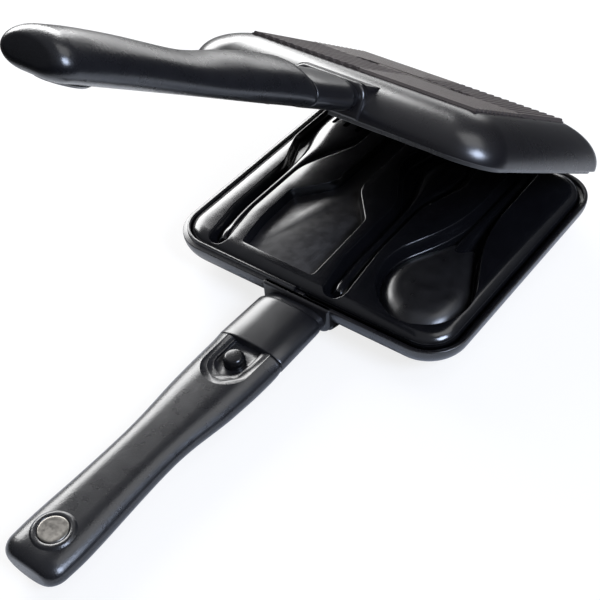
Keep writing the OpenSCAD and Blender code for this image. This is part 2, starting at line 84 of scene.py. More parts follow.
class Half(Enum):
    """One of the two identical halves, which meet on the hinge."""

    LOWER = "lower"
    UPPER = "upper"

    @property
    def body(self) -> str:
        """Name of the CAD body that carries this half."""
        return f"{self.value}_half"

    @property
    def catch_body(self) -> str:
        """Name of the CAD body of this half's button."""
        return f"{self.value}_catch"

    def node(self, part: str) -> str:
        """Name of this half's CAD node for a part."""
        return f"{self.value}_{part}"

    def place(self, p: Sequence[float]) -> Vector:
        """Moves a point from a half's own frame into the row frame.

        Args:
            p: The point in millimetres, as if it were on the lower half.

        Returns:
            The point in metres where this half stands open.
        """
        x, y, z = p
        if self is Half.UPPER:
            x, y, z = -x, y - HINGE_Y, PARTING_Z - z
            c, s = math.cos(OPEN_ANGLE), math.sin(OPEN_ANGLE)
            y, z = HINGE_Y + y * c + z * s, PARTING_Z - y * s + z * c
        return Vector((x * MM, y * MM, z * MM))


# ---------------------------------------------------------------- outlines


def rounded(hw: float, hl: float, r: float, steps: int) -> list[Point2]:
    """Outline of a rounded rectangle, counter-clockwise from its front right corner.

    Args:
        hw: Half its width along X.
        hl: Half its length along Y.
        r: Radius of its corners.
        steps: Steps round each corner.

    Returns:
        The points, steps + 1 for each corner.
    """
    pts = []
    for sx, sy, start in ((1, -1, -90), (1, 1, 0), (-1, 1, 90), (-1, -1, 180)):
        for i in range(steps + 1):
            a = math.radians(start + 90 * i / steps)
            pts.append((sx * (hw - r) + r * math.cos(a), sy * (hl - r) + r * math.sin(a)))
    return pts


def sides_at(corners: Sequence[Corner], i: int) -> tuple[Vector, Vector, Vector]:
    """Corner i of a list [x, y, radius] with the directions into and out of it."""
    b = Vector(corners[i][:2])
    u = (b - Vector(corners[i - 1][:2])).normalized()
    v = (Vector(corners[(i + 1) % len(corners)][:2]) - b).normalized()
    return b, u, v


def inset(corners: Sequence[Corner], d: float) -> list[Corner]:
    """Moves the sides of a corner list inward and fits its radii.

    Args:
        corners: The corners (x, y, radius), counter-clockwise.
        d: How far the sides move inward, negative for outward.

    Returns:
        The new corners.
    """
    out = []
    for i, corner in enumerate(corners):
        b, u, v = sides_at(corners, i)
        p = b + Vector((-u.y - v.y, u.x + v.x)) * d / (1 + u.dot(v))
        turn = u.x * v.y - u.y * v.x
        out.append((p.x, p.y, max(0.6, corner[2] + (-d if turn > 0 else d))))
    return out


def filleted(corners: Sequence[Corner], steps: int) -> list[Point2]:
    """Outline through a corner list, each corner an arc of its own radius.

    Args:
        corners: The corners (x, y, radius), counter-clockwise.
        steps: Steps round each corner.

    Returns:
        The points, steps + 1 for each corner.
    """
    pts = []
    for i, corner in enumerate(corners):
        b, u, v = sides_at(corners, i)
        turn = 1.0 if u.x * v.y - u.y * v.x > 0 else -1.0
        angle = math.acos(max(-1.0, min(1.0, u.dot(v))))
        start = b - u * corner[2] * math.tan(angle / 2)
        centre = start + turn * corner[2] * Vector((-u.y, u.x))
        arm = start - centre
        for k in range(steps + 1):
            w = turn * angle * k / steps
            c, s = math.cos(w), math.sin(w)
            pts.append((centre.x + arm.x * c - arm.y * s, centre.y + arm.x * s + arm.y * c))
    return pts


def lift(pts: Iterable[Point2], z: float) -> list[Point3]:
    """Sets an outline at a level."""
    return [(x, y, z) for x, y in pts]


def stand(pts: Iterable[Point2], y: float) -> list[Point3]:
    """Stands an outline of (x, level) upright at a station along Y."""
    return [(x, y, z) for x, z in pts]


def arc(centre: Point2, radius: float, start: float, end: float, steps: int) -> list[Point2]:
    """Points of an arc between two angles in degrees."""
    angles = [math.radians(start + (end - start) * k / steps) for k in range(steps + 1)]
    return [(centre[0] + radius * math.cos(a), centre[1] + radius * math.sin(a)) for a in angles]


def circle(centre: Point2, radius: float, steps: int) -> list[Point2]:
    """Points of a full circle."""
    angles = [2 * math.pi * i / steps for i in range(steps)]
    return [(centre[0] + radius * math.cos(a), centre[1] + radius * math.sin(a)) for a in angles]


def fuller(v: float, power: float) -> float:
    """A sine or cosine bent so that its ellipse becomes a superellipse of a power."""
    return math.copysign(abs(v) ** (2 / power), v)


def split_plan(pts: Sequence[Point2], step: float) -> list[int]:
    """How many parts each side of an outline is split into so that none is over step."""
    n = len(pts)
    return [max(1, math.ceil(math.dist(pts[i], pts[(i + 1) % n]) / step)) for i in range(n)]


def split_by(pts: Sequence[Point2], plan: Sequence[int]) -> list[Point2]:
    """Splits the sides of an outline into the numbers of parts in a plan."""
    out = []
    for i, parts in enumerate(plan):
        a, b = pts[i], pts[(i + 1) % len(pts)]
        out.extend((a[0] + (b[0] - a[0]) * k / parts, a[1] + (b[1] - a[1]) * k / parts)
                   for k in range(parts))
    return out


def densify(pts: Sequence[Point2], step: float) -> list[Point2]:
    """Splits the sides of an outline so that none is longer than step."""
    return split_by(pts, split_plan(pts, step))


def inside(p: Point2, loop: np.ndarray) -> bool:
    """Whether a place lies inside a closed outline."""
    x, y = loop[:, 0], loop[:, 1]
    x2, y2 = np.roll(x, -1), np.roll(y, -1)
    crosses = (y > p[1]) != (y2 > p[1])
    with np.errstate(divide="ignore", invalid="ignore"):
        at = x + (p[1] - y) * (x2 - x) / (y2 - y)
    return bool(np.count_nonzero(crosses & (p[0] < at)) % 2)


def smooth_value(x: float, xs: np.ndarray, ys: np.ndarray) -> float:
    """Value of the curve through points by a cubic between its neighbours.

    Args:
        x: Where the value is wanted.
        xs: Places of the points, rising.
        ys: Values at the points.

    Returns:
        The value.
    """
    slopes = np.gradient(ys, xs)
    i = int(np.clip(np.searchsorted(xs, x) - 1, 0, len(xs) - 2))
    h = xs[i + 1] - xs[i]
    t = float(np.clip((x - xs[i]) / h, 0.0, 1.0))
    a, b = 2 * t**3 - 3 * t**2 + 1, t**3 - 2 * t**2 + t
    c, d = -2 * t**3 + 3 * t**2, t**3 - t**2
    return float(a * ys[i] + b * h * slopes[i] + c * ys[i + 1] + d * h * slopes[i + 1])


# ---------------------------------------------------------------- meshes


class Form:
    """Points and faces of one piece in its half's own frame."""

    def __init__(self, weld: float = 0.0) -> None:
        """Starts with nothing in it.

        Args:
            weld: Distance in millimetres below which its points become one.
        """
        self.weld = weld
        self.points: list[Point3] = []
        self.faces: list[Face] = []

    def skin(
        self, rings: Sequence[Sequence[Point3]], caps: tuple[bool, bool] = (True, True)
    ) -> "Form":
        """Adds a surface through closed rings of equal length.

        Args:
            rings: The rings in order.
            caps: Whether the first and the last ring are closed with a face.

        Returns:
            This form.
        """
        n, base = len(rings[0]), len(self.points)
        for ring in rings:
            self.points.extend(tuple(p) for p in ring)
        for k in range(len(rings) - 1):
            a, b = base + k * n, base + (k + 1) * n
            for i in range(n):
                j = (i + 1) % n
                self.faces.append((a + i, a + j, b + j, b + i))
        if caps[0]:
            self.faces.append(tuple(base + i for i in reversed(range(n))))
        if caps[1]:
            self.faces.append(tuple(base + (len(rings) - 1) * n + i for i in range(n)))
        return self

    def add(self, points: Iterable[Sequence[float]], faces: Iterable[Face]) -> "Form":
        """Adds points and the faces between them.

        Args:
            points: The new points.
            faces: Faces that count from the first new point.

        Returns:
            This form.
        """
        base = len(self.points)
        self.points.extend(tuple(p) for p in points)
        self.faces.extend(tuple(base + i for i in f) for f in faces)
        return self

    def join(self, other: "Form") -> "Form":
        """Adds all of another form."""
        return self.add(other.points, other.faces)

    def to_object(self, name: str, half: Half) -> bpy.types.Object:
        """Makes a Blender object in the row frame with outward normals.

        Args:
            name: Name of the object and its mesh.
            half: The half whose place it takes.

        Returns:
            The object, linked into the scene.
        """
        mesh = bpy.data.meshes.new(name)
        mesh.from_pydata([half.place(p) for p in self.points], [], self.faces)
        bm = bmesh.new()
        bm.from_mesh(mesh)
        if self.weld:
            bmesh.ops.remove_doubles(bm, verts=bm.verts, dist=self.weld * MM)
        bmesh.ops.recalc_face_normals(bm, faces=bm.faces)
        bm.to_mesh(mesh)
        bm.free()
        smooth(mesh)
        obj = bpy.data.objects.new(name, mesh)
        bpy.context.scene.collection.objects.link(obj)
        return obj


def smooth(mesh: bpy.types.Mesh) -> None:
    """Shades a mesh smooth but for its sharp edges."""
    mesh.set_sharp_from_angle(angle=SMOOTH_ANGLE)
    mesh.polygons.foreach_set("use_smooth", [True] * len(mesh.polygons))


def apply_modifiers(obj: bpy.types.Object) -> None:
    """Turns an object's modifiers into its mesh and marks its sharp edges anew."""
    bpy.context.view_layer.update()
    graph = bpy.context.evaluated_depsgraph_get()
    mesh = bpy.data.meshes.new_from_object(obj.evaluated_get(graph), depsgraph=graph)
    obj.modifiers.clear()
    obj.data = mesh
    smooth(mesh)


def cut(obj: bpy.types.Object, half: Half, cutters: Sequence[Form]) -> None:
    """Takes closed forms away from an object.

    Args:
        obj: The object to cut.
        half: The half whose place the cutters take.
        cutters: The forms, one after the other.
    """
    helpers = []
    for i, form in enumerate(cutters):
        helper = form.to_object(f"{obj.name}_cutter{i}", half)
        helpers.append(helper)
        mod = obj.modifiers.new(f"cut{i}", "BOOLEAN")
        mod.operation = "DIFFERENCE"
        mod.solver = "EXACT"
        mod.object = helper
    apply_modifiers(obj)
    for helper in helpers:
        bpy.data.objects.remove(helper)


def thicken(obj: bpy.types.Object, wall: float) -> None:
    """Gives an open skin a wall on its inner side.

    Args:
        obj: The object of the skin.
        wall: The wall's thickness in millimetres.
    """
    mod = obj.modifiers.new("wall", "SOLIDIFY")
    mod.thickness = wall * MM
    mod.offset = -1.0
    mod.use_rim = True
    apply_modifiers(obj)


def revolve(profile: Sequence[Point2], centre: Point2, steps: int = 64) -> Form:
    """Turns a profile of (radius, level) about an upright axis.

    Args:
        profile: The profile from the axis at the bottom, outward, to the axis at the top.
        centre: Place of the axis.
        steps: Steps round the axis.

    Returns:
        The closed form.
    """
    return Form().skin([lift(circle(centre, max(r, AXIS_R), steps), z) for r, z in profile])


def cylinder(r: float, low: float, high: float, centre: Point2) -> Form:
    """Upright cylinder between two levels."""
    return revolve([(0, low), (r, low), (r, high), (0, high)], centre)


def fill_plane(
    loops: Sequence[Sequence[Point2]], extra: Sequence[Point2] = ()
) -> tuple[list[Point2], list[Face]]:
    """Triangles between an outer loop and the loops that are holes in it.

    Args:
        loops: The outer loop first, then the holes.
        extra: Points inside that the triangles pass through.

    Returns:
        The points, those of the loops first and in order, and the faces.
    """
    verts = [Vector(p) for loop in loops for p in loop]
    edges, polys, base = [], [], 0
    for loop in loops:
        n = len(loop)
        edges.extend((base + i, base + (i + 1) % n) for i in range(n))
        polys.append([base + i for i in range(n)])
        base += n
    verts.extend(Vector(p) for p in extra)
    out_v, _, out_f, origin, _, face_of = delaunay_2d_cdt(verts, edges, polys, 1, 1e-6)
    back = {}
    points = [(v.x, v.y) for v in out_v]
    for new, olds in enumerate(origin):
        for old in olds:
            back[old] = new
    order = [back[i] for i in range(base)]
    rest = [i for i in range(len(points)) if i not in set(order)]
    rank = {v: k for k, v in enumerate(order + rest)}
    faces = [
        tuple(rank[v] for v in f)
        for f, of in zip(out_f, face_of)
        if 0 in of and all(k == 0 for k in of)
    ]
    return [points[i] for i in order + rest], faces


# ---------------------------------------------------------------- finishes


def feed(tree: bpy.types.NodeTree, node: bpy.types.Node, inputs: Inputs) -> None:
    """Sets a node's inputs to values, or links them to outputs of other nodes."""
    for key, value in inputs.items():
        if isinstance(value, bpy.types.NodeSocket):
            tree.links.new(value, node.inputs[key])
        else:
            node.inputs[key].default_value = value


def add_node(
    tree: bpy.types.NodeTree, kind: str, inputs: Inputs, operation: str | None = None
) -> bpy.types.Node:
    """Adds a shader node.

    Args:
        tree: The tree that takes it.
        kind: Its Blender type.
        inputs: A value or another node's output for each input's name or number.
        operation: What it does, for a maths node.

    Returns:
        The node.
    """
    node = tree.nodes.new(kind)
    if operation is not None:
        node.operation = operation
    feed(tree, node, inputs)
    return node


def map_range(
    tree: bpy.types.NodeTree, value: bpy.types.NodeSocket, source: Point2, target: Point2
) -> bpy.types.NodeSocket:
    """Output of a node that turns one range of a value into another and holds its ends."""
    spans = {"From Min": source[0], "From Max": source[1], "To Min": target[0], "To Max": target[1]}
    return add_node(tree, "ShaderNodeMapRange", {"Value": value, **spans}).outputs["Result"]


def noise(
    tree: bpy.types.NodeTree, where: bpy.types.NodeSocket, size: float, detail: float
) -> bpy.types.NodeSocket:
    """Output of a noise with patches of a size in millimetres."""
    inputs = {"Vector": where, "Scale": 1 / (size * MM), "Detail": detail}
    return add_node(tree, "ShaderNodeTexNoise", inputs).outputs["Fac"]


@dataclass(frozen=True)
class Grain:
    """One layer of surface relief: noise of a size in millimetres and a height."""

    size: float
    height: float
    detail: float = 3.0


@dataclass(frozen=True)
class Finish:
    """A moulded or coated surface with its shade, sheen and fine relief."""

    name: str
    slot: str
    shade: tuple[float, float, float]
    shade_spread: float
    roughness: float
    roughness_spread: float
    patch: float
    grains: tuple[Grain, ...] = ()
    patch_detail: float = 4.0
    metallic: float = 0.0
    specular: float = 0.5
    coat: float = 0.0
    coat_roughness: float = 0.1

    def material(self) -> bpy.types.Material:
        """Builds the node material.

        Returns:
            The material, made once for each finish.
        """
        if self.name in bpy.data.materials:
            return bpy.data.materials[self.name]
        mat = bpy.data.materials.new(self.name)
        mat.use_nodes = True
        tree = mat.node_tree
        where = tree.nodes.new("ShaderNodeTexCoord").outputs["Object"]
        patches = noise(tree, where, self.patch, self.patch_detail)
        ramp = add_node(tree, "ShaderNodeValToRGB", {"Fac": patches})
        for element, place, side in zip(ramp.color_ramp.elements, PATCH_SPAN, (-1, 1)):
            element.position = place
            element.color = (*(c * (1 + side * self.shade_spread) for c in self.shade), 1)
        sheens = (self.roughness - self.roughness_spread, self.roughness + self.roughness_spread)
        inputs = {
            "Base Color": ramp.outputs["Color"],
            "Roughness": map_range(tree, patches, PATCH_SPAN, sheens),
            "Metallic": self.metallic,
            "Specular IOR Level": self.specular,
            "Coat Weight": self.coat,
            "Coat Roughness": self.coat_roughness,
        }
        relief = {}
        for grain in self.grains:
            height = noise(tree, where, grain.size, grain.detail)
            relief |= {"Height": height, "Strength": 1.0, "Distance": grain.height * MM}
            relief = {"Normal": add_node(tree, "ShaderNodeBump", relief).outputs["Normal"]}
        feed(tree, tree.nodes["Principled BSDF"], inputs | relief)
        return mat


COATING = Finish(
    "nonstick_coating", "pan_coating", (0.0055, 0.0050, 0.0062), 0.12, 0.28, 0.025, 22.0,
    (Grain(0.9, 0.010), Grain(0.25, 0.004)), specular=0.85,
)
# Same non-stick coating as the pans: its lighter, brownish shade is painted reflection of warm
# light at a grazing angle, not a colour of its own.
GRIDDLE_COATING_PAINTED_REFLECTION = Finish(
    "griddle_coating_painted_reflection", "pan_coating", (0.062, 0.050, 0.045), 0.15, 0.46, 0.03, 18.0,
    (Grain(0.7, 0.012), Grain(0.25, 0.004)), specular=0.45,
)
NECK_MOULDING = Finish(
    "satin_neck_moulding", "neck_moulding", (0.006, 0.006, 0.0075), 0.08, 0.30, 0.02, 14.0,
    (Grain(0.35, 0.006),), specular=0.85,
)
HANDLE_MOULDING = Finish(
    "fine_textured_handle", "handle_moulding", (0.007, 0.007, 0.0085), 0.12, 0.28, 0.02, 9.0,
    (Grain(1.2, 0.05, 2.0), Grain(0.6, 0.02)), specular=0.75,
)
BUTTON_MOULDING = Finish(
    "glossy_button", "button_moulding", (0.004, 0.004, 0.0045), 0.05, 0.24, 0.02, 4.0,
    (Grain(2.0, 0.01),), specular=0.5, coat=0.3, coat_roughness=0.08,
)
TRAY_MOULDING = Finish(
    "half_gloss_tray", "tray_moulding", (0.004, 0.004, 0.005), 0.12, 0.18, 0.03, 12.0,
    (Grain(3.0, 0.006),), specular=0.80,
)
BOWL_MOULDING = Finish(
    "half_gloss_bowl", "tray_moulding", (0.008, 0.0075, 0.008), 0.25, 0.32, 0.05, 7.0,
    (Grain(0.5, 0.014), Grain(0.25, 0.006)), specular=0.85,
)
BLADE_MOULDING = Finish(
    "mottled_blade_rest", "tray_moulding", (0.020, 0.018, 0.018), 0.30, 0.46, 0.07, 5.0,
    (Grain(0.45, 0.020), Grain(2.5, 0.03)), specular=0.85,
)
STEEL = Finish(
    "turned_steel", "steel", (0.52, 0.52, 0.53), 0.08, 0.32, 0.06, 3.0,
    (Grain(0.2, 0.004),), metallic=1.0,
)
NICKEL = Finish(
    "nickel_plate", "nickel", (0.22, 0.21, 0.193), 0.16, 0.36, 0.07, 2.5,
    (Grain(0.9, 0.02), Grain(0.25, 0.006)), metallic=1.0,
)


def dress(
    obj: bpy.types.Object, finish: Finish, body: str, node: str | None = None
) -> bpy.types.Object:
    """Gives a new piece its finish and hands it to a CAD body.

    Args:
        obj: The piece, in place.
        finish: Its surface.
        body: The CAD body that it moves with.
        node: The CAD node that it stands for, or None.

    Returns:
        The piece.
    """
    obj.data.materials.clear()
    obj.data.materials.append(finish.material())
    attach(obj, body)
    if node is not None:
        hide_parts(node)
    LOG.info("%s: %d faces on %s", obj.name, len(obj.data.polygons), body)
    return obj


def dress_node(name: str, finish: Finish) -> None:
    """Gives a CAD node that keeps its shape a better material."""
    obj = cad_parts[name]
    obj.data.materials.clear()
    obj.data.materials.append(finish.material())
    LOG.info("%s: kept with %s", name, finish.name)


# ---------------------------------------------------------------- cast pan


class Rim(Enum):
    """What a stretch of the rim carries."""

    PLAIN = 0
    LIP = 1
    REBATE = 2


@dataclass
class CastPan:
    """One cast half: domed shell, griddle plate, neck boss and hinge lugs."""

    half: Half
    width: float = 185.0
    length: float = 171.0
    corner_r: float = 23.0
    rim_gap: float = 0.1
    rim_band: float = 1.1
    dome_run: float = 30.9
    dome_foot: float = 1.9
    corner_share: float = 0.4
    wall: float = 2.7
    rim_t: float = 4.4
    lip_in: float = 2.8
    lip_h: float = 2.0
    lip_start: float = 3.0
    lip_step: float = 0.02
    rebate_in: float = 2.3
    rebate_h: float = 2.4
    plate_w: float = 135.4
    plate_l: float = 121.4
    plate_shift: float = 0.7
    plate_foot: float = 3.4
    ridge_h: float = 1.3
    ridges_across: int = 14
    ridges_along: int = 12
    ridge_top: float = 0.46
    ridge_foot: float = 0.76
    recess: tuple[float, float, float] = (75.0, 12.0, 2.2)
    recess_steps: int = 16
    bar: tuple[float, float, float] = (46.0, 3.0, 3.2)
    bar_edge: float = 0.25
    boss_half_w: float = 22.0
    boss_out: float = 1.2
    boss_low: float = 4.8
    boss_edge: float = 1.6
    boss_sunk: float = 1.0
    boss_foot_r: float = 7.0
    boss_turns: tuple[float, ...] = (90, 65, 40, 15, 0)
    boss_insets: tuple[float, ...] = (2.25, 3.5, 5.0, 6.5, 8.0, 10.0, 12.0)
    knuckle_r: float = 5.5
    pin_r: float = 2.5
    hook_clear: float = 0.05
    hook_x: float = 44.0
    hook_w: float = 8.0
    lug_t: float = 4.0
    lug_gap: float = 10.0
    lug_edge: float = 0.4
    corner_steps: int = 20
    dome_steps: int = 26

    @property
    def band_z(self) -> float:
        """Foot of the rim's upright band."""
        return PARTING_Z - self.rim_gap - self.rim_band

    @property
    def rim_z(self) -> float:
        """Top of the rim's land."""
        return PARTING_Z - self.rim_gap

    @property
    def dome_rise(self) -> float:
        """Height of the quarter ellipse that the dome's section follows."""
        return self.band_z - self.ridge_h + 0.5

    @property
    def boss_y(self) -> float:
        """Front face of the neck boss."""
        return -(self.length / 2 + self.boss_out)

    def columns(self, inward: float, r: float) -> list[Point2]:
        """Points round the pan at one distance from its edge.

        Args:
            inward: Distance from the rim's edge.
            r: Plan radius of the corners.

        Returns:
            The points.
        """
        hw, hl, n = self.width / 2 - inward, self.length / 2 - inward, 2 * (self.corner_steps + 1)
        ring = rounded(hw, hl, r, self.corner_steps)
        s = self.lip_start
        changes = (s + self.lip_step, s, -s, -s - self.lip_step)
        back, front = [(x, hl) for x in changes], [(x, -hl) for x in reversed(changes)]
        return ring[:n] + back + ring[n:] + front

    def rim_kinds(self) -> list[Rim]:
        """What the rim carries at each of the points of columns()."""
        n = 2 * (self.corner_steps + 1)
        back = [Rim.REBATE, Rim.PLAIN, Rim.PLAIN, Rim.LIP]
        return [Rim.REBATE] * n + back + [Rim.LIP] * n + back[::-1]

    def rim_path(self, rim: Rim) -> list[Point2]:
        """Section of the rim as (distance inward, level), from outside to inside."""
        top, low = self.rim_z, self.rim_z - (self.rebate_h - self.rim_gap)
        high, t = PARTING_Z + self.lip_h, self.rim_t
        edge = [(0.0, top - 0.45), (0.13, top - 0.13), (0.45, top)]
        if rim is Rim.LIP:
            a = self.lip_in
            return edge + [
                (a - 0.15, top), (a, top + 0.15), (a, high - 0.35), (a + 0.35, high),
                (t - 0.35, high), (t, high - 0.35), (t, top - 0.5),
            ]
        if rim is Rim.REBATE:
            a = self.rebate_in
            return edge + [
                (a - 0.25, top), (a, top - 0.25), (a, low + 0.15), (a + 0.15, low),
                (t - 0.25, low), (t, low - 0.25), (t, low - 0.6),
            ]
        return edge + [
            (1.2, top), (1.8, top), (2.4, top), (3.0, top), (t - 0.3, top), (t, top - 0.3),
            (t, top - 0.6),
        ]

    def shell(self) -> Form:
        """Domed shell with its rim, lip and rebate, one closed skin."""
        rings = []
        rise = self.dome_rise
        end = math.degrees(math.asin((self.band_z - self.dome_foot) / rise))
        for k in range(self.dome_steps + 1):
            a = math.radians(end * (1 - k / self.dome_steps))
            inward = self.dome_run * (1 - math.cos(a))
            level = self.band_z - rise * math.sin(a)
            r = self.corner_r - self.corner_share * inward
            rings.append(lift(self.columns(inward, r), level))
        kinds = self.rim_kinds()
        paths = {kind: self.rim_path(kind) for kind in Rim}
        for k in range(len(paths[Rim.PLAIN])):
            by_kind = {}
            for kind in Rim:
                inward, level = paths[kind][k]
                by_kind[kind] = lift(self.columns(inward, self.corner_r - inward), level)
            rings.append([by_kind[kind][i] for i, kind in enumerate(kinds)])
        run = self.dome_run - self.wall
        depth = rise - self.wall - 0.2
        start = math.degrees(math.acos((self.dome_run - self.rim_t) / run))
        for k in range(self.dome_steps + 1):
            a = math.radians(start + (90 - start) * k / self.dome_steps)
            inward = self.dome_run - run * math.cos(a)
            r = self.corner_r - self.corner_share * (inward - self.rim_t) - self.rim_t
            rings.append(lift(self.columns(inward, r), self.band_z - depth * math.sin(a)))
        return Form().skin(rings)

    def recess_edge(self, along: float) -> float:
        """Half length of the recess at a distance from its long axis."""
        length, w, _ = self.recess
        return (length - w) / 2 + math.sqrt(max(0.0, (w / 2) ** 2 - along**2))

    def recess_side(self, x: float) -> float:
        """Half width of the recess at a distance from its middle."""
        length, w, _ = self.recess
        over = abs(x) - (length - w) / 2
        if over <= 0:
            return w / 2
        return math.sqrt(max(0.0, (w / 2) ** 2 - over**2))

    def ridge_profile(self, pitch: float) -> list[Point2]:
        """Section of a ridge as (across, level) with rounded shoulders."""
        top, foot, h = pitch * self.ridge_top / 2, pitch * self.ridge_foot / 2, self.ridge_h
        half = [(foot, h + 0.25), (foot - 0.08, h - 0.12)]
        half += arc((top - 0.3, 0.42), 0.42, 15, -90, 4)
        return half + [(-x, z) for x, z in reversed(half)]

    def ridges(self) -> Form:
        """Basket weave of four fields of ridges, cut back round the recess."""
        form = Form()
        w, l, shift = self.plate_w / 2, self.plate_l / 2, self.plate_shift
        for s in (-1, 1):
            pitch = w / self.ridges_across
            low, high = sorted((0.0, -s * l))
            for i in range(self.ridges_across):
                x0 = s * w / 2 + pitch * (i + 0.5) - w / 2
                self.add_ridge(form, x0, pitch, low - shift, high - shift, True)
            pitch = l / self.ridges_along
            low, high = sorted((0.0, s * w))
            for i in range(self.ridges_along):
                y0 = s * l / 2 + pitch * (i + 0.5) - l / 2 - shift
                self.add_ridge(form, y0, pitch, low, high, False)
        return form

    def add_ridge(
        self, form: Form, at: float, pitch: float, low: float, high: float, lengthways: bool
    ) -> None:
        """Adds one ridge, shortened where it would enter the recess.

        Args:
            form: The form that takes it.
            at: Place of its middle line.
            pitch: Width of its share of the field.
            low: Where it starts.
            high: Where it ends.
            lengthways: Whether it runs along Y.
        """
        limit = self.recess_side if lengthways else self.recess_edge
        reach = self.recess[0 if lengthways else 1] / 2
        start, end = [], []
        for across, level in self.ridge_profile(pitch):
            place = at + across
            a, b = low, high
            if abs(place) < reach:
                edge = limit(place)
                if high > 0 and low < edge and low > -edge:
                    a = edge
                if low < 0 and high > -edge and high < edge:
                    b = -edge
            start.append((place, a, level) if lengthways else (a, place, level))
            end.append((place, b, level) if lengthways else (b, place, level))
        form.skin([start, end])

    def plate(self) -> Form:
        """Slab under the ridges with the round-ended recess in its middle."""
        w, l, shift = self.plate_w / 2, self.plate_l / 2, self.plate_shift
        length, width, depth = self.recess
        outer = [(-w, -l - shift), (w, -l - shift), (w, l - shift), (-w, l - shift)]
        c, r, steps = (length - width) / 2, width / 2, self.recess_steps
        hole = arc((c, 0), r, -90, 90, steps) + arc((-c, 0), r, 90, 270, steps)
        points, faces = fill_plane([outer, hole])
        form = Form(FINE_WELD).add(lift(points, self.ridge_h), faces)
        for outline, foot in ((outer, self.plate_foot), (hole, depth)):
            form.skin([lift(outline, self.ridge_h), lift(outline, foot)], (False, True))
        bar_l, bar_w, bar_foot = self.bar
        rings = []
        for e, level in ((0, bar_foot), (0, self.bar_edge), (self.bar_edge, 0)):
            rings.append(lift(rounded(bar_l / 2 - e, bar_w / 2 - e, 0.4, 3), level))
        return form.skin(rings)

    def boss(self) -> Form:
        """Cast boss that carries the neck, its top flush with the rim."""
        r, edge, low, w = self.boss_edge, -self.length / 2, self.boss_low, self.boss_half_w
        places = []
        for a in map(math.radians, self.boss_turns):
            y, d = self.boss_y + r * (1 - math.sin(a)), r * (1 - math.cos(a))
            places.append((y, d, self.rim_z))
        places.append((edge + self.rebate_in - 0.1, 0.0, self.rim_z))
        for inward in self.boss_insets:
            a = math.acos(1 - inward / self.dome_run)
            level = self.band_z - self.dome_rise * math.sin(a) + self.boss_sunk
            places.append((edge + inward, 0.0, max(level, low + 1)))
        rings = []
        for y, d, top in places:
            foot_r = min(self.boss_foot_r, 0.45 * (top - low))
            corners = [(-w, low, foot_r), (w, low, foot_r), (w, top, 0.4), (-w, top, 0.4)]
            rings.append(stand(filleted(inset(corners, d), 8), y))
        return Form().skin(rings)

    def lug(self, x: float, w: float, hook: bool) -> Form:
        """Hinge arm with its knuckle.

        Args:
            x: Its middle.
            w: Its width.
            hook: Whether its bore is open to the back, to hook on a pin.

        Returns:
            The closed form.
        """
        r, y0, z0, root = self.knuckle_r, HINGE_Y, PARTING_Z, self.length / 2
        axis, bore = (y0, z0), self.pin_r + self.hook_clear
        outline = [(root - 5, z0 - 12), (y0 - 3, z0 - r)]
        if hook:
            outline += arc(axis, r, -90, -28, 10) + arc(axis, bore, -50, -90, 3)
            outline += arc(axis, bore, -90, -270, 14) + arc(axis, bore, 90, 50, 3)
            outline += arc(axis, r, 28, 170, 14)
        else:
            outline += arc(axis, r, -90, 0, 10) + arc(axis, r, 0, 170, 18)[1:]
        outline += [(y0 - 8, z0 - 0.4), (root - 2, z0 - 0.4)]
        outline += [(root - 2, z0 - 3), (root - 5, z0 - 3)]
        mid_y, mid_z = (sum(p[k] for p in outline) / len(outline) for k in (0, 1))
        rings = []
        half_w, edge = w / 2, self.lug_edge
        sides = ((-half_w, edge), (edge - half_w, 0), (half_w - edge, 0), (half_w, edge))
        for side, shrink in sides:
            ring = []
            for y, z in outline:
                k = 1.0 if hook else 1 - shrink / math.hypot(y - mid_y, z - mid_z)
                ring.append((x + side, mid_y + (y - mid_y) * k, mid_z + (z - mid_z) * k))
            rings.append(ring)
        return Form().skin(rings)

    def build(self) -> None:
        """Builds and dresses the pan's pieces."""
        half = self.half
        shell = self.shell().to_object(half.node("pan_shell"), half)
        dress(shell, COATING, half.body, half.node("pan"))
        lugs = Form()
        for side in (-1, 1):
            x = side * (self.lug_gap + self.lug_t) / 2 - self.hook_x
            lugs.join(self.lug(x, self.lug_t, False))
        for part, form, finish in (
            # The griddle's finish carries painted warm reflection in its base colour.
            ("griddle_plate", self.plate(), GRIDDLE_COATING_PAINTED_REFLECTION),
            ("griddle_ridges", self.ridges(), GRIDDLE_COATING_PAINTED_REFLECTION),
            ("neck_boss", self.boss(), COATING),
            ("pin_lugs", lugs, COATING),
            ("hinge_hook", self.lug(self.hook_x, self.hook_w, True), COATING),
        ):
            dress(form.to_object(half.node(part), half), finish, half.body)
        dress_node(half.node("hinge_pin"), STEEL)


# ---------------------------------------------------------------- grip


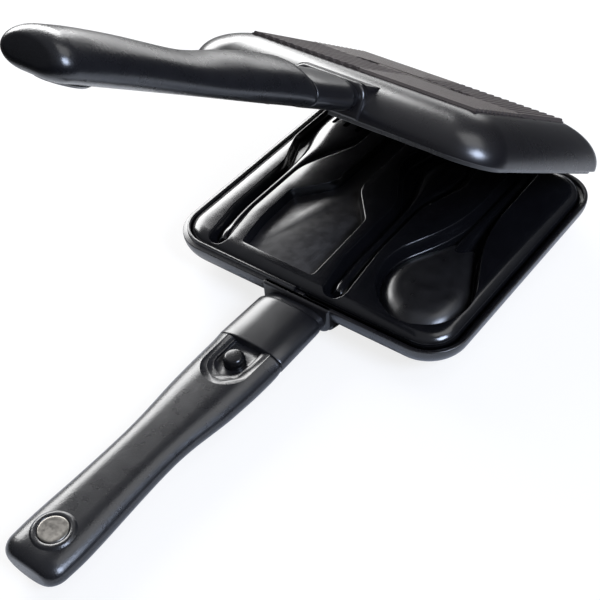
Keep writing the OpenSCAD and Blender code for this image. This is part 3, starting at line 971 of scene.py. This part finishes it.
@dataclass
class Grip:
    """Neck and handle of one half with the catch button and the magnet."""

    half: Half
    joint_y: float = -125.7
    flat_half: float = 5.5
    shoulder_share: float = 0.39
    neck_power: float = 2.6
    handle_power: float = 2.0
    button_y: float = -138.0
    button_d: float = 11.6
    button_top: float = 22.3
    button_travel: float = 6.6
    spring_foot: float = 6.2
    spring_d: float = 7.4
    wire_d: float = 0.8
    spring_turns: int = 7
    magnet_y: float = -266.8
    magnet_d: float = 15.0
    ring_r: float = 9.8
    round_steps: int = 80
    spigot_w: float = 14.0
    spigot_mid: float = 12.0
    spigot_sink: float = 8.4
    spigot_top: float = 15.7
    spigot_length: float = 34.5
    socket_length: float = 35.2
    socket_gap: float = 0.2
    barrel: Table = (
        (0, 2.0), (7.5, 2.0), (7.5, 14.3), (5.85, 14.3), (5.85, 18.0), (0, 18.0),
    )
    button_well: Point3 = (6.0, 14.0, 19.0)
    magnet_seat: Point3 = (7.55, 18.2, 26.0)
    arch_steps: Table = (
        (14.0, -157.5, 1.4, 0.35), (11.0, -153.5, 2.1, 0.0), (8.8, -149.5, 4.1, 0.0),
    )
    under_steps: int = 44
    shoulder_steps: int = 14
    neck_stations: Table = (
        (-86.7, 19.0, 14.2, 2.0), (-90.3, 19.0, 14.2, 2.0), (-90.5, 19.3, 14.9, 1.4),
        (-91.2, 19.8, 15.7, 0.55), (-92.2, 20.15, 16.1, 0.12), (-93.5, 20.3, 16.2, 0.0),
        (-100.0, 20.45, 16.2, 0.0), (-112.0, 20.7, 16.2, 0.0), (-124.6, 20.9, 16.2, 0.0),
        (-125.3, 20.8, 16.0, 0.08), (-125.6, 20.5, 15.6, 0.35),
    )
    handle_start: Table = (
        (-125.75, 20.25, 15.7, 0.45), (-125.9, 20.6, 16.4, 0.15), (-126.3, 20.9, 17.2, 0.0),
        (-127.2, 20.95, 18.1, 0.0), (-128.6, 20.95, 18.9, 0.0), (-130.6, 20.9, 19.55, 0.0),
    )
    handle_stations: Table = (
        (-133.7, 20.8, 20.0), (-145.0, 20.6, 20.0), (-156.0, 20.1, 19.5),
        (-167.0, 19.4, 18.9), (-178.0, 18.2, 17.8), (-189.0, 17.0, 16.7),
        (-200.0, 16.3, 16.2), (-212.0, 16.2, 16.5), (-225.0, 16.5, 17.2),
        (-240.0, 17.1, 18.0), (-256.0, 17.9, 18.4), (-268.0, 18.2, 18.4),
        (-277.2, 17.9, 18.0),
    )
    handle_steps: int = 64
    tip_steps: int = 12
    tip_length: float = 9.0
    tip_rise: float = 5.0

    def section(self, y: float, w: float, t: float, drop: float, power: float) -> list[Point3]:
        """Section across the grip: flat inner face, round shoulders, rounded underside.

        Args:
            y: Its station.
            w: Half its width.
            t: Its depth.
            drop: How far its flat face lies lower than FACE_Z.
            power: How far the underside is squared off, 2 for an ellipse.

        Returns:
            The ring.
        """
        mid = FACE_Z - drop - self.shoulder_share * t
        rise, sink = self.shoulder_share * t, (1 - self.shoulder_share) * t
        flat = min(self.flat_half, w - 5)
        ring = []
        for i in range(self.under_steps):
            a = math.pi * (1 + i / self.under_steps)
            c, s = math.cos(a), math.sin(a)
            ring.append((fuller(c, power) * w, y, mid + sink * fuller(s, power)))
        for i in range(self.shoulder_steps + 1):
            a = math.pi / 2 * i / self.shoulder_steps
            ring.append((flat + (w - flat) * math.cos(a), y, mid + rise * math.sin(a)))
        for i in range(self.shoulder_steps):
            a = math.pi / 2 * i / self.shoulder_steps
            ring.append((-flat - (w - flat) * math.sin(a), y, mid + rise * math.cos(a)))
        return ring

    def neck(self) -> Form:
        """Moulded neck between the boss and the joint."""
        return Form().skin([self.section(*s, self.neck_power) for s in self.neck_stations])

    def spigot(self, grow: float, start: float, length: float) -> Form:
        """Tongue of the neck inside the handle, or with grow the handle's socket."""
        w, sink, top = self.spigot_w + grow, self.spigot_sink + grow, self.spigot_top
        turns = (math.pi * (1 + i / 32) for i in range(33))
        outline = [(w * math.cos(a), self.spigot_mid + sink * math.sin(a)) for a in turns]
        outline += [(w, top - 1), (w - 1, top), (1 - w, top), (-w, top - 1)]
        return Form().skin([stand(outline, start), stand(outline, start - length)])

    def handle(self) -> Form:
        """Plug-on handle from its joint to its round tip, still without its cuts."""
        rings = [self.section(*s, self.handle_power) for s in self.handle_start]
        order = np.array(self.handle_stations)[::-1]
        for y in np.linspace(order[-1, 0], order[0, 0], self.handle_steps):
            w, t = (smooth_value(y, order[:, 0], order[:, k]) for k in (1, 2))
            rings.append(self.section(y, w, t, 0.0, self.handle_power))
        y0, w0, t0 = order[0]
        end, end_t = self.tip_length, self.tip_rise
        for k in range(1, self.tip_steps + 1):
            a = math.pi / 2 * k / self.tip_steps
            away = 1 - math.cos(a)
            rings.append(self.section(
                y0 - end * math.sin(a), w0 - end * 0.8 * away, t0 - 2 * end_t * away,
                end_t * away, self.handle_power))
        return Form().skin(rings)

    def arch(self, w: float, end_y: float, depth: float, flare: float) -> Form:
        """Cutter of one step of the arch, round toward the tip and open at the joint.

        Args:
            w: Half its width.
            end_y: Where it ends.
            depth: How far its floor lies below the flat face.
            flare: How far its upper edge leans out.

        Returns:
            The closed form.
        """
        rings = []
        floor, back = FACE_Z - depth, self.joint_y + 3
        for grow, z in ((-0.25, floor), (0, floor + 0.25), (0, FACE_Z - 0.35),
                        (flare, FACE_Z + 0.1), (flare + 0.3, FACE_Z + 4)):
            r = w + grow
            bow = arc((0, end_y + w), r, 180, 360, 40)
            rings.append(lift([(-r, back)] + bow + [(r, back)], z))
        return Form().skin(rings)

    def button(self) -> Form:
        """Glossy button with its rounded top and the flange that keeps it in."""
        r, top = self.button_d / 2, self.button_top
        low, flange = 12.9, 14.3
        profile = [(0.0, top - 2.2), (3.9, top - 2.2), (3.9, low), (7.3, low), (7.3, flange),
                   (r, flange), (r, top - 2.5)]
        profile += [(r - 0.12, top - 2.05), (4.95, top - 0.7), (4.7, top - 0.38),
                    (4.35, top - 0.12), (3.9, top - 0.02), (0.0, top)]
        return revolve(profile, (0, self.button_y), 72)

    @property
    def spring_head(self) -> float:
        """Level of the spring's end inside the button."""
        return self.button_top - 2.2

    def spring(self) -> Form:
        """Coil spring between its seat and the hollow button's crown."""
        w, sides, steps = self.wire_d / 2, 8, 24
        r = self.spring_d / 2 - w
        low, high = self.spring_foot + w, self.spring_head - w
        total = self.spring_turns * steps
        rings = []
        for i in range(total + 1):
            a, z = 2 * math.pi * i / steps, low + (high - low) * i / total
            ring = []
            for q, dz in circle((r, 0), w, sides):
                ring.append((q * math.cos(a), self.button_y + q * math.sin(a), z + dz))
            rings.append(ring)
        return Form().skin(rings)

    def magnet(self) -> Form:
        """Round magnet with a soft edge and a faintly dished face."""
        r, top = self.magnet_d / 2, PARTING_Z - 0.3
        profile = [(0.0, top - 4), (r, top - 4), (r, top - 0.5), (r - 0.12, top - 0.2),
                   (r - 0.42, top - 0.04), (r - 0.9, top), (r - 2.2, top - 0.05),
                   (0.0, top - 0.16)]
        return revolve(profile, (0, self.magnet_y), self.round_steps)

    def magnet_ring(self) -> Form:
        """Low ring of the handle round the magnet."""
        r, top, bore = self.ring_r, PARTING_Z - 0.6, self.magnet_d / 2 + 0.1
        profile = [(bore, 17.0), (r + 1.4, 17.0), (r + 1.4, FACE_Z - 0.2), (r + 0.9, FACE_Z + 0.1),
                   (r + 0.35, top - 0.2), (r, top), (bore + 0.4, top), (bore, top - 0.35)]
        centre = (0, self.magnet_y)
        rings = [lift(circle(centre, q, self.round_steps), z) for q, z in profile]
        return Form(FINE_WELD).skin(rings + rings[:1], (False, False))

    def build(self) -> None:
        """Builds and dresses the grip's pieces."""
        half, body = self.half, self.half.body
        at_button, at_magnet = (0, self.button_y), (0, self.magnet_y)
        neck = self.neck().to_object(half.node("neck_collar"), half)
        dress(neck, NECK_MOULDING, body, half.node("neck"))
        spigot = self.spigot(0, self.joint_y + 0.5, self.spigot_length)
        tongue = spigot.to_object(half.node("neck_spigot"), half)
        cut(tongue, half, [revolve(self.barrel, at_button)])
        dress(tongue, NECK_MOULDING, body)
        handle = self.handle().to_object(half.node("handle_grip"), half)
        cutters = [self.arch(*step) for step in self.arch_steps]
        cutters.append(cylinder(*self.button_well, at_button))
        cutters.append(cylinder(*self.magnet_seat, at_magnet))
        cutters.append(self.spigot(self.socket_gap, self.joint_y + 1, self.socket_length))
        cut(handle, half, cutters)
        dress(handle, HANDLE_MOULDING, body, half.node("handle"))
        dress(self.magnet_ring().to_object(half.node("magnet_ring"), half), HANDLE_MOULDING, body)
        magnet = self.magnet().to_object(half.node("magnet_disc"), half)
        dress(magnet, NICKEL, body, half.node("magnet"))
        button = self.button().to_object(half.node("catch_button"), half)
        dress(button, BUTTON_MOULDING, half.catch_body, half.node("button"))
        spring = self.spring().to_object(half.node("coil_spring"), half)
        dress(spring, STEEL, body, half.node("button_spring"))
        foot, head = (half.place((0, self.button_y, z)) for z in
                      (self.spring_foot, self.spring_head))
        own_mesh(spring)
        for part in ("neck_screw", "screw_washer"):
            dress_node(half.node(part), STEEL)
        dress_node(half.node("spring_seat"), NECK_MOULDING)


# ---------------------------------------------------------------- utensil tray


@dataclass(frozen=True)
class Station:
    """One section of a raised form: its middle, half width, top level and fullness."""

    x: float
    y: float
    w: float
    top: float
    power: float = 2.2


@dataclass
class UtensilTray:
    """Moulded tray with four pockets that hang from its land."""

    width: float = 174.0
    length: float = 161.2
    top_z: float = 27.0
    base_z: float = 16.9
    corner_r: float = 18.0
    shoulder: Point2 = (8.0, 5.2)
    wall: float = 1.6
    draft_in: float = 1.6
    depth: float = 8.5
    draft: float = 12.0
    lip_r: float = 0.8
    floor_r: float = 1.2
    steps: int = 10
    rim_steps: int = 24
    spacing: float = 2.0
    clear: float = 0.7
    skirt_level: float = 20.0
    pockets: dict[str, list[Corner]] = field(default_factory=lambda: {
        "spatula": [
            (0.7, -71.5, 2.5), (-1.5, -18, 8), (-20.5, 4, 18), (-21.5, 73, 3), (-35, 73, 3),
            (-35.5, 2, 18), (-53.4, -19, 7), (-52.5, -48, 60), (-48.3, -70.2, 2.5)],
        "fork": [
            (-56.0, -78.6, 5.2), (-61.8, -45, 50), (-61.8, 2, 30), (-46, 36, 12), (-45.5, 73, 5),
            (-84, 73, 9), (-84, 27, 14), (-73.4, 2, 30), (-73.0, -48, 40), (-67.6, -78.6, 5.2)],
        "third": [
            (24.5, -78.6, 5.8), (19.6, -35, 60), (19.4, 8, 25), (30, 38, 25), (25, 73, 14),
            (-7, 73, 14), (-15, 38, 25), (5.5, 4, 25), (6, -48, 40), (11.5, -78.6, 5.8)],
        "spoon": [
            (45.7, 73, 5), (45.6, 9, 100), (24.5, -34, 36), (32.5, -63, 34), (57, -76.5, 20),
            (79, -66, 22), (84, -42, 34), (60.3, 8, 105), (59.3, 73, 5)],
    })
    fork_stations: tuple[Station, ...] = (
        Station(-64.4, 72.6, 17.0, 23.6, 2.8), Station(-64.4, 62, 17.0, 24.6, 2.8),
        Station(-64.5, 50, 16.8, 25.0, 2.7), Station(-64.7, 42, 15.6, 25.0, 2.6),
        Station(-65.3, 33, 12.6, 24.8, 2.4), Station(-66.2, 23, 8.2, 24.4, 2.2),
        Station(-67.1, 12, 5.0, 23.9), Station(-67.5, 0, 3.7, 23.5), Station(-67.6, -20, 3.3, 23.3),
        Station(-67.2, -45, 3.2, 23.2), Station(-65.6, -57, 3.3, 23.2),
        Station(-62.2, -70.6, 3.6, 23.3), Station(-62.1, -71.0, 3.45, 23.1),
    )
    third_stations: tuple[Station, ...] = (
        Station(10.0, 66, 8.0, 20.4), Station(10.0, 58, 10.5, 21.6), Station(9.5, 44, 11.5, 22.6),
        Station(10.5, 30, 8.0, 23.2), Station(12.0, 14, 4.4, 23.3), Station(12.6, 0, 3.4, 23.2),
        Station(13.2, -25, 3.2, 23.2), Station(13.9, -48, 3.2, 23.2), Station(15.0, -58, 3.3, 23.2),
        Station(17.3, -70.6, 3.6, 23.3), Station(17.4, -71.0, 3.45, 23.1),
    )
    spoon_stations: tuple[Station, ...] = (
        Station(52.5, 71, 3.6, 22.6), Station(52.6, 20, 3.8, 22.8), Station(53.5, 0, 4.6, 23.4),
        Station(54.6, -14, 7.0, 24.4), Station(55.5, -26, 9.0, 24.9), Station(56.0, -34, 8.0, 24.4),
    )
    spoon_bowl: tuple[Corner, ...] = (
        (46.5, 2, 5), (24.5, -34, 40), (32.5, -63, 34), (57, -76.5, 20), (79, -66, 22),
        (84, -42, 36), (61.0, 2, 5),
    )
    bowl_middle: Point2 = (55.0, -43.0)
    bowl_gap: float = 2.3
    bowl_rise: float = 7.0
    bowl_edge: float = 14.0
    bowl_reach: float = 25.0
    bowl_crown: float = 0.9
    edge_steps: int = 14
    crown_steps: int = 8
    tine_gaps: tuple[float, ...] = (-73.3, -64.7, -56.0)
    tine_gap_w: float = 3.3
    tine_start: float = 50.5
    blade_gap: float = 1.0
    blade_t: float = 2.8
    blade_edge: float = 0.2
    root: float = 0.6
    feet: tuple[Point2, ...] = ((-40, -42), (45, -42), (-28.3, 40), (52.5, 40))

    @property
    def floor_z(self) -> float:
        """Level of the pockets' floors."""
        return self.top_z - self.depth

    def outline(self, inward: float) -> list[Point2]:
        """Outline of the tray at a distance inward from its edge, in short sides."""
        hw, hl = self.width / 2 - inward, self.length / 2 - inward
        return densify(rounded(hw, hl, self.corner_r - inward, self.rim_steps), self.spacing)

    def edge_distance(self, x: float, y: float) -> float:
        """Distance of a place inward from the tray's outline."""
        qx = abs(x) - (self.width / 2 - self.corner_r)
        qy = abs(y) - (self.length / 2 - self.corner_r)
        outside = math.hypot(max(qx, 0.0), max(qy, 0.0))
        return self.corner_r - outside - min(max(qx, qy), 0.0)

    def drop(self, x: float, y: float) -> float:
        """How far the shoulder lies below the land at a place."""
        run, fall = self.shoulder
        k = min(1.0, max(0.0, 1 - self.edge_distance(x, y) / run))
        return fall * (1 - math.sqrt(max(0.0, 1 - k * k)))

    def settle(self, p: Point3) -> Point3:
        """Lowers a point of a pocket's edge where it runs over the shoulder."""
        x, y, z = p
        share = min(1.0, max(0.0, (z - self.floor_z) / self.depth))
        return x, y, z - self.drop(x, y) * share

    def wall_path(self) -> list[Point2]:
        """Section of a pocket's wall as (distance inward, level), from land to floor."""
        slope = math.tan(math.radians(self.draft))
        top, r, q = self.top_z, self.lip_r, self.floor_r
        path = []
        for k in range(6):
            a = math.radians(78 * k / 5)
            path.append((-r * 0.8 + r * math.sin(a) * 0.86, top - r * (1 - math.cos(a))))
        foot = (self.depth - q) * slope
        path.append((foot, self.floor_z + q))
        for k in range(1, 6):
            a = math.radians(78 * k / 5)
            away = foot + q * (1 - math.cos(a)) * 1.15
            path.append((away, self.floor_z + q * (1 - math.sin(a))))
        path.append((path[-1][0] + 0.3, self.floor_z))
        return path

    def shoulder_points(self, outlines: Sequence[Sequence[Point2]]) -> list[Point2]:
        """Places on the shoulder that the land's triangles pass through.

        Args:
            outlines: Lip outlines of the pockets, which the places keep clear of.

        Returns:
            The places, ring by ring.
        """
        run = self.shoulder[0]
        near = np.array([p for outline in outlines for p in outline])
        loops = [np.array(outline) for outline in outlines]
        found = []
        for k in range(1, 10):
            inward = run * (1 - math.cos(math.radians(10 * k)))
            for p in self.outline(inward):
                close = np.min(np.hypot(near[:, 0] - p[0], near[:, 1] - p[1])) < self.clear
                if not close and not any(inside(p, loop) for loop in loops):
                    found.append(p)
        return found

    def skin_form(self) -> Form:
        """Upper surface of the tray with its pockets and skirt, open below."""
        path = self.wall_path()
        form = Form(0.01)
        lips = []
        for corners in self.pockets.values():
            plan = split_plan(filleted(inset(corners, path[0][0]), self.steps), 3.0)
            rings = []
            for away, level in path:
                outline = split_by(filleted(inset(corners, away), self.steps), plan)
                rings.append([self.settle(p) for p in lift(outline, level)])
            form.skin(rings, (False, True))
            lips.append([(x, y) for x, y, _ in rings[0]])
        outer = self.outline(0.0)
        points, faces = fill_plane([outer] + lips, self.shoulder_points(lips))
        form.add([(x, y, self.top_z - self.drop(x, y)) for x, y in points], faces)
        rings = []
        for away, level in ((0.0, self.top_z - self.shoulder[1]), (0.25, self.skirt_level),
                            (self.draft_in, self.base_z)):
            kx, ky = 1 - away / (self.width / 2), 1 - away / (self.length / 2)
            rings.append([(x * kx, y * ky, level) for x, y in outer])
        form.skin(rings, (False, False))
        return form

    def raised_form(self, stations: Sequence[Station], parts: int = 6) -> Form:
        """Smooth raised form on a pocket's floor through sections along it.

        Args:
            stations: Its sections from the back to the front.
            parts: Rings between two stations.

        Returns:
            The closed form.
        """
        ys = np.array([s.y for s in stations])[::-1]
        columns = [np.array([getattr(s, key) for s in stations])[::-1]
                   for key in ("x", "w", "top", "power")]
        places = []
        for a, b in zip(stations, stations[1:]):
            n = parts if a.y - b.y > 2 else 1
            places.extend(a.y + (b.y - a.y) * k / n for k in range(n))
        places.append(stations[-1].y)
        rings = []
        for y in places:
            x, w, top, power = (smooth_value(y, ys, column) for column in columns)
            rise, low = top - self.floor_z, self.floor_z - self.root
            ring = [(x + w, y, low)]
            for i in range(37):
                across, up = (fuller(f(math.pi * i / 36), power) for f in (math.cos, math.sin))
                ring.append((x + across * w, y, self.floor_z + rise * up))
            rings.append(ring + [(x - w, y, low)])
        return Form().skin(rings)

    def tine_gap(self, x: float) -> Form:
        """Cutter of the gap between two tines of the fork's form."""
        r, back = self.tine_gap_w / 2, 80.0
        outline = arc((x, self.tine_start + r), r, 180, 360, 12) + [(x + r, back), (x - r, back)]
        return Form().skin([lift(outline, self.floor_z + 0.3), lift(outline, self.top_z + 2)])

    def bowl_form(self) -> Form:
        """Egg-shaped crown that fills the spoon's bowl but for a narrow gap."""
        outline = densify(filleted(inset(self.spoon_bowl, self.bowl_gap), self.steps), self.spacing)
        cx, cy = self.bowl_middle
        r, top = self.bowl_edge, self.floor_z + self.bowl_rise
        start = math.asin(1 - self.bowl_rise / r)
        shares = [(1.0, self.floor_z - self.root)]
        for k in range(self.edge_steps + 1):
            a = start + (math.pi / 2 - start) * k / self.edge_steps
            away = r * (math.cos(start) - math.cos(a)) / self.bowl_reach
            shares.append((1 - away, top - r * (1 - math.sin(a))))
        inner = shares[-1][0]
        for k in range(1, self.crown_steps + 1):
            rest = 1 - k / (self.crown_steps + 0.1)
            shares.append((inner * rest, top + self.bowl_crown * (1 - rest * rest)))
        rings = []
        for share, level in shares:
            ring = [(cx + (x - cx) * share, cy + (y - cy) * share) for x, y in outline]
            rings.append(lift(ring, level))
        return Form().skin(rings)

    def blade_form(self) -> Form:
        """Flat rest with crisp edges on the spatula pocket's floor."""
        top, edge = self.floor_z + self.blade_t, self.blade_edge
        rings = []
        for away, level in ((0.0, self.floor_z - 0.5), (0.0, top - edge), (edge, top)):
            corners = inset(self.pockets["spatula"], self.blade_gap + away)
            rings.append(lift(filleted(corners, self.steps), level))
        return Form().skin(rings)

    def foot(self, x: float, y: float) -> Form:
        """Foot that stands on the pan's floor."""
        rings = []
        for r, z in ((3.2, 3.7), (3.6, 4.1), (4.6, self.base_z + 0.8)):
            rings.append(lift(circle((x, y), r, 40), z))
        return Form().skin(rings)

    def build(self) -> None:
        """Builds and dresses the tray and the forms on it."""
        skin = self.skin_form().to_object("tray_skin", Half.LOWER)
        thicken(skin, self.wall)
        dress(skin, TRAY_MOULDING, TRAY_BODY, "utensil_tray")
        fork = self.raised_form(self.fork_stations).to_object("fork_form", Half.LOWER)
        cut(fork, Half.LOWER, [self.tine_gap(x) for x in self.tine_gaps])
        dress(fork, TRAY_MOULDING, TRAY_BODY)
        feet = Form()
        for x, y in self.feet:
            feet.join(self.foot(x, y))
        for name, form, finish in (
            ("third_form", self.raised_form(self.third_stations), TRAY_MOULDING),
            ("spoon_neck_form", self.raised_form(self.spoon_stations), TRAY_MOULDING),
            ("spoon_bowl_form", self.bowl_form(), BOWL_MOULDING),
            ("spatula_blade_form", self.blade_form(), BLADE_MOULDING),
            ("tray_feet", feet, TRAY_MOULDING),
        ):
            dress(form.to_object(name, Half.LOWER), finish, TRAY_BODY)


# ---------------------------------------------------------------- studio


@dataclass(frozen=True)
class Softbox:
    """A soft lamp: its place and size in metres, its power in watts and its tint."""

    name: str
    place: Point3
    size: Point2
    power: float
    tint: Point3 = (1, 1, 1)


@dataclass
class Studio:
    """White floor, soft lamps and the camera."""

    target_mm: Point3 = (-11.21, -68.99, 0.0)
    distance_mm: float = 663.93
    azimuth: float = 40.11
    elevation: float = 43.64
    roll: float = -4.67
    focal_px: float = 1189.823
    sensor_mm: float = 36.0
    clip_m: Point2 = (0.01, 20)
    floor_size_m: float = 9
    floor_place_m: Point3 = (0.02, -0.12, -0.0003)
    # Painted shade of the floor: distances over which it fades, and the colours it fades between.
    floor_painted_shade_span_m: Point2 = (0.18, 0.38)
    floor_painted_shades: Point2 = (0.86, 0.03)
    floor_glow: float = 0.8
    sky_tint: tuple[float, ...] = (0.92, 0.94, 1.0, 1)
    sky_span: Point2 = (0.1, 0.9)
    sky_levels: Point2 = (0.04, 0.24)
    aim_m: Point3 = (0.0, -0.03, 0.03)
    softboxes: tuple[Softbox, ...] = (
        Softbox("left_softbox", (-1.28, 0.68, 0.70), (1.7, 0.76), 42),
        Softbox("right_softbox", (1.17, -0.21, 1.07), (0.62, 0.62), 26, (0.68, 0.78, 1.0)),
        Softbox("back_softbox", (0.40, 0.45, 1.36), (0.9, 0.9), 4),
        Softbox("low_softbox", (-0.72, 1.30, 0.14), (0.9, 0.4), 3),
    )

    def camera(self) -> None:
        """Places the camera where the photograph was taken from."""
        a, e, r = (math.radians(v) for v in (self.azimuth, self.elevation, self.roll))
        back = Vector((math.sin(a) * math.cos(e), -math.cos(a) * math.cos(e), math.sin(e)))
        x = Vector((math.cos(a), math.sin(a), 0))
        y = back.cross(x)
        x, y = x * math.cos(r) + y * math.sin(r), -x * math.sin(r) + y * math.cos(r)
        data = bpy.data.cameras.new("camera")
        data.sensor_width = self.sensor_mm
        data.lens = self.focal_px / IMAGE_PX * self.sensor_mm
        data.clip_start, data.clip_end = self.clip_m
        cam = bpy.data.objects.new("camera", data)
        bpy.context.scene.collection.objects.link(cam)
        turn = Matrix((x, y, back)).transposed().to_4x4()
        place = (Vector(self.target_mm) + back * self.distance_mm) * MM
        cam.matrix_world = Matrix.Translation(place) @ turn
        bpy.context.scene.camera = cam

    def lamp(self, box: Softbox) -> None:
        """Adds one softbox, turned to the object."""
        data = bpy.data.lights.new(box.name, "AREA")
        data.shape = "RECTANGLE"
        data.size, data.size_y = box.size
        data.energy = box.power
        data.color = box.tint
        obj = bpy.data.objects.new(box.name, data)
        obj.location = box.place
        away = Vector(box.place) - Vector(self.aim_m)
        obj.rotation_euler = away.to_track_quat("Z", "Y").to_euler()
        bpy.context.scene.collection.objects.link(obj)

    def floor(self) -> None:
        """Lays a floor, white to the camera; to the object its colour darkens farther away, a
        painted shade for the unlit studio.
        """
        mat = bpy.data.materials.new("white_floor")
        mat.use_nodes = True
        tree = mat.node_tree
        seen = tree.nodes.new("ShaderNodeLightPath").outputs["Is Camera Ray"]
        place = tree.nodes.new("ShaderNodeTexCoord").outputs["Object"]
        away = add_node(tree, "ShaderNodeVectorMath", {0: place}, "LENGTH").outputs["Value"]
        # Painted shade: the floor's colour falls from pale to near black with distance, standing in
        # for light that dies away.
        painted_shade = map_range(tree, away, self.floor_painted_shade_span_m, self.floor_painted_shades)
        pale = add_node(tree, "ShaderNodeMath", {0: painted_shade, 1: seen}, "MAXIMUM").outputs[0]
        channels = dict.fromkeys(("Red", "Green", "Blue"), pale)
        shade = add_node(tree, "ShaderNodeCombineColor", channels).outputs[0]
        shader = tree.nodes["Principled BSDF"]
        feed(tree, shader, {"Base Color": shade, "Roughness": 0.8, "Specular IOR Level": 0.1})
        share = add_node(tree, "ShaderNodeMath", {0: seen, 1: self.floor_glow}, "MULTIPLY")
        glow = add_node(tree, "ShaderNodeEmission", {"Color": WHITE, "Strength": 1.0})
        parts = {0: share.outputs[0], 1: shader.outputs[0], 2: glow.outputs[0]}
        mix = add_node(tree, "ShaderNodeMixShader", parts)
        feed(tree, tree.nodes["Material Output"], {"Surface": mix.outputs[0]})
        bpy.ops.mesh.primitive_plane_add(size=self.floor_size_m, location=self.floor_place_m)
        plane = bpy.context.object
        plane.name = "floor"
        plane.data.materials.append(mat)

    def world(self) -> None:
        """Sets a plain studio around: white to the camera, dim to the object."""
        world = bpy.data.worlds.new("studio")
        bpy.context.scene.world = world
        world.use_nodes = True
        tree = world.node_tree
        seen = tree.nodes.new("ShaderNodeLightPath").outputs["Is Camera Ray"]
        toward = tree.nodes.new("ShaderNodeTexCoord").outputs["Generated"]
        up = add_node(tree, "ShaderNodeSeparateXYZ", {0: toward}).outputs["Z"]
        dim = tree.nodes["Background"]
        level = map_range(tree, up, self.sky_span, self.sky_levels)
        feed(tree, dim, {"Color": self.sky_tint, "Strength": level})
        white = add_node(tree, "ShaderNodeBackground", {"Color": WHITE})
        parts = {0: seen, 1: dim.outputs[0], 2: white.outputs[0]}
        mix = add_node(tree, "ShaderNodeMixShader", parts)
        feed(tree, tree.nodes["World Output"], {"Surface": mix.outputs[0]})

    def build(self) -> None:
        """Sets up the floor, the world and the lamps."""
        bpy.context.scene.view_settings.view_transform = "Standard"
        self.floor()
        self.world()
        for box in self.softboxes:
            self.lamp(box)


def main() -> None:
    """Builds the scene in order."""
    logging.basicConfig(level=logging.INFO, format="%(message)s")
    studio = Studio()
    studio.camera()
    for half in Half:
        CastPan(half).build()
        Grip(half).build()
    UtensilTray().build()
    studio.build()


if __name__ == "__main__":
    main()
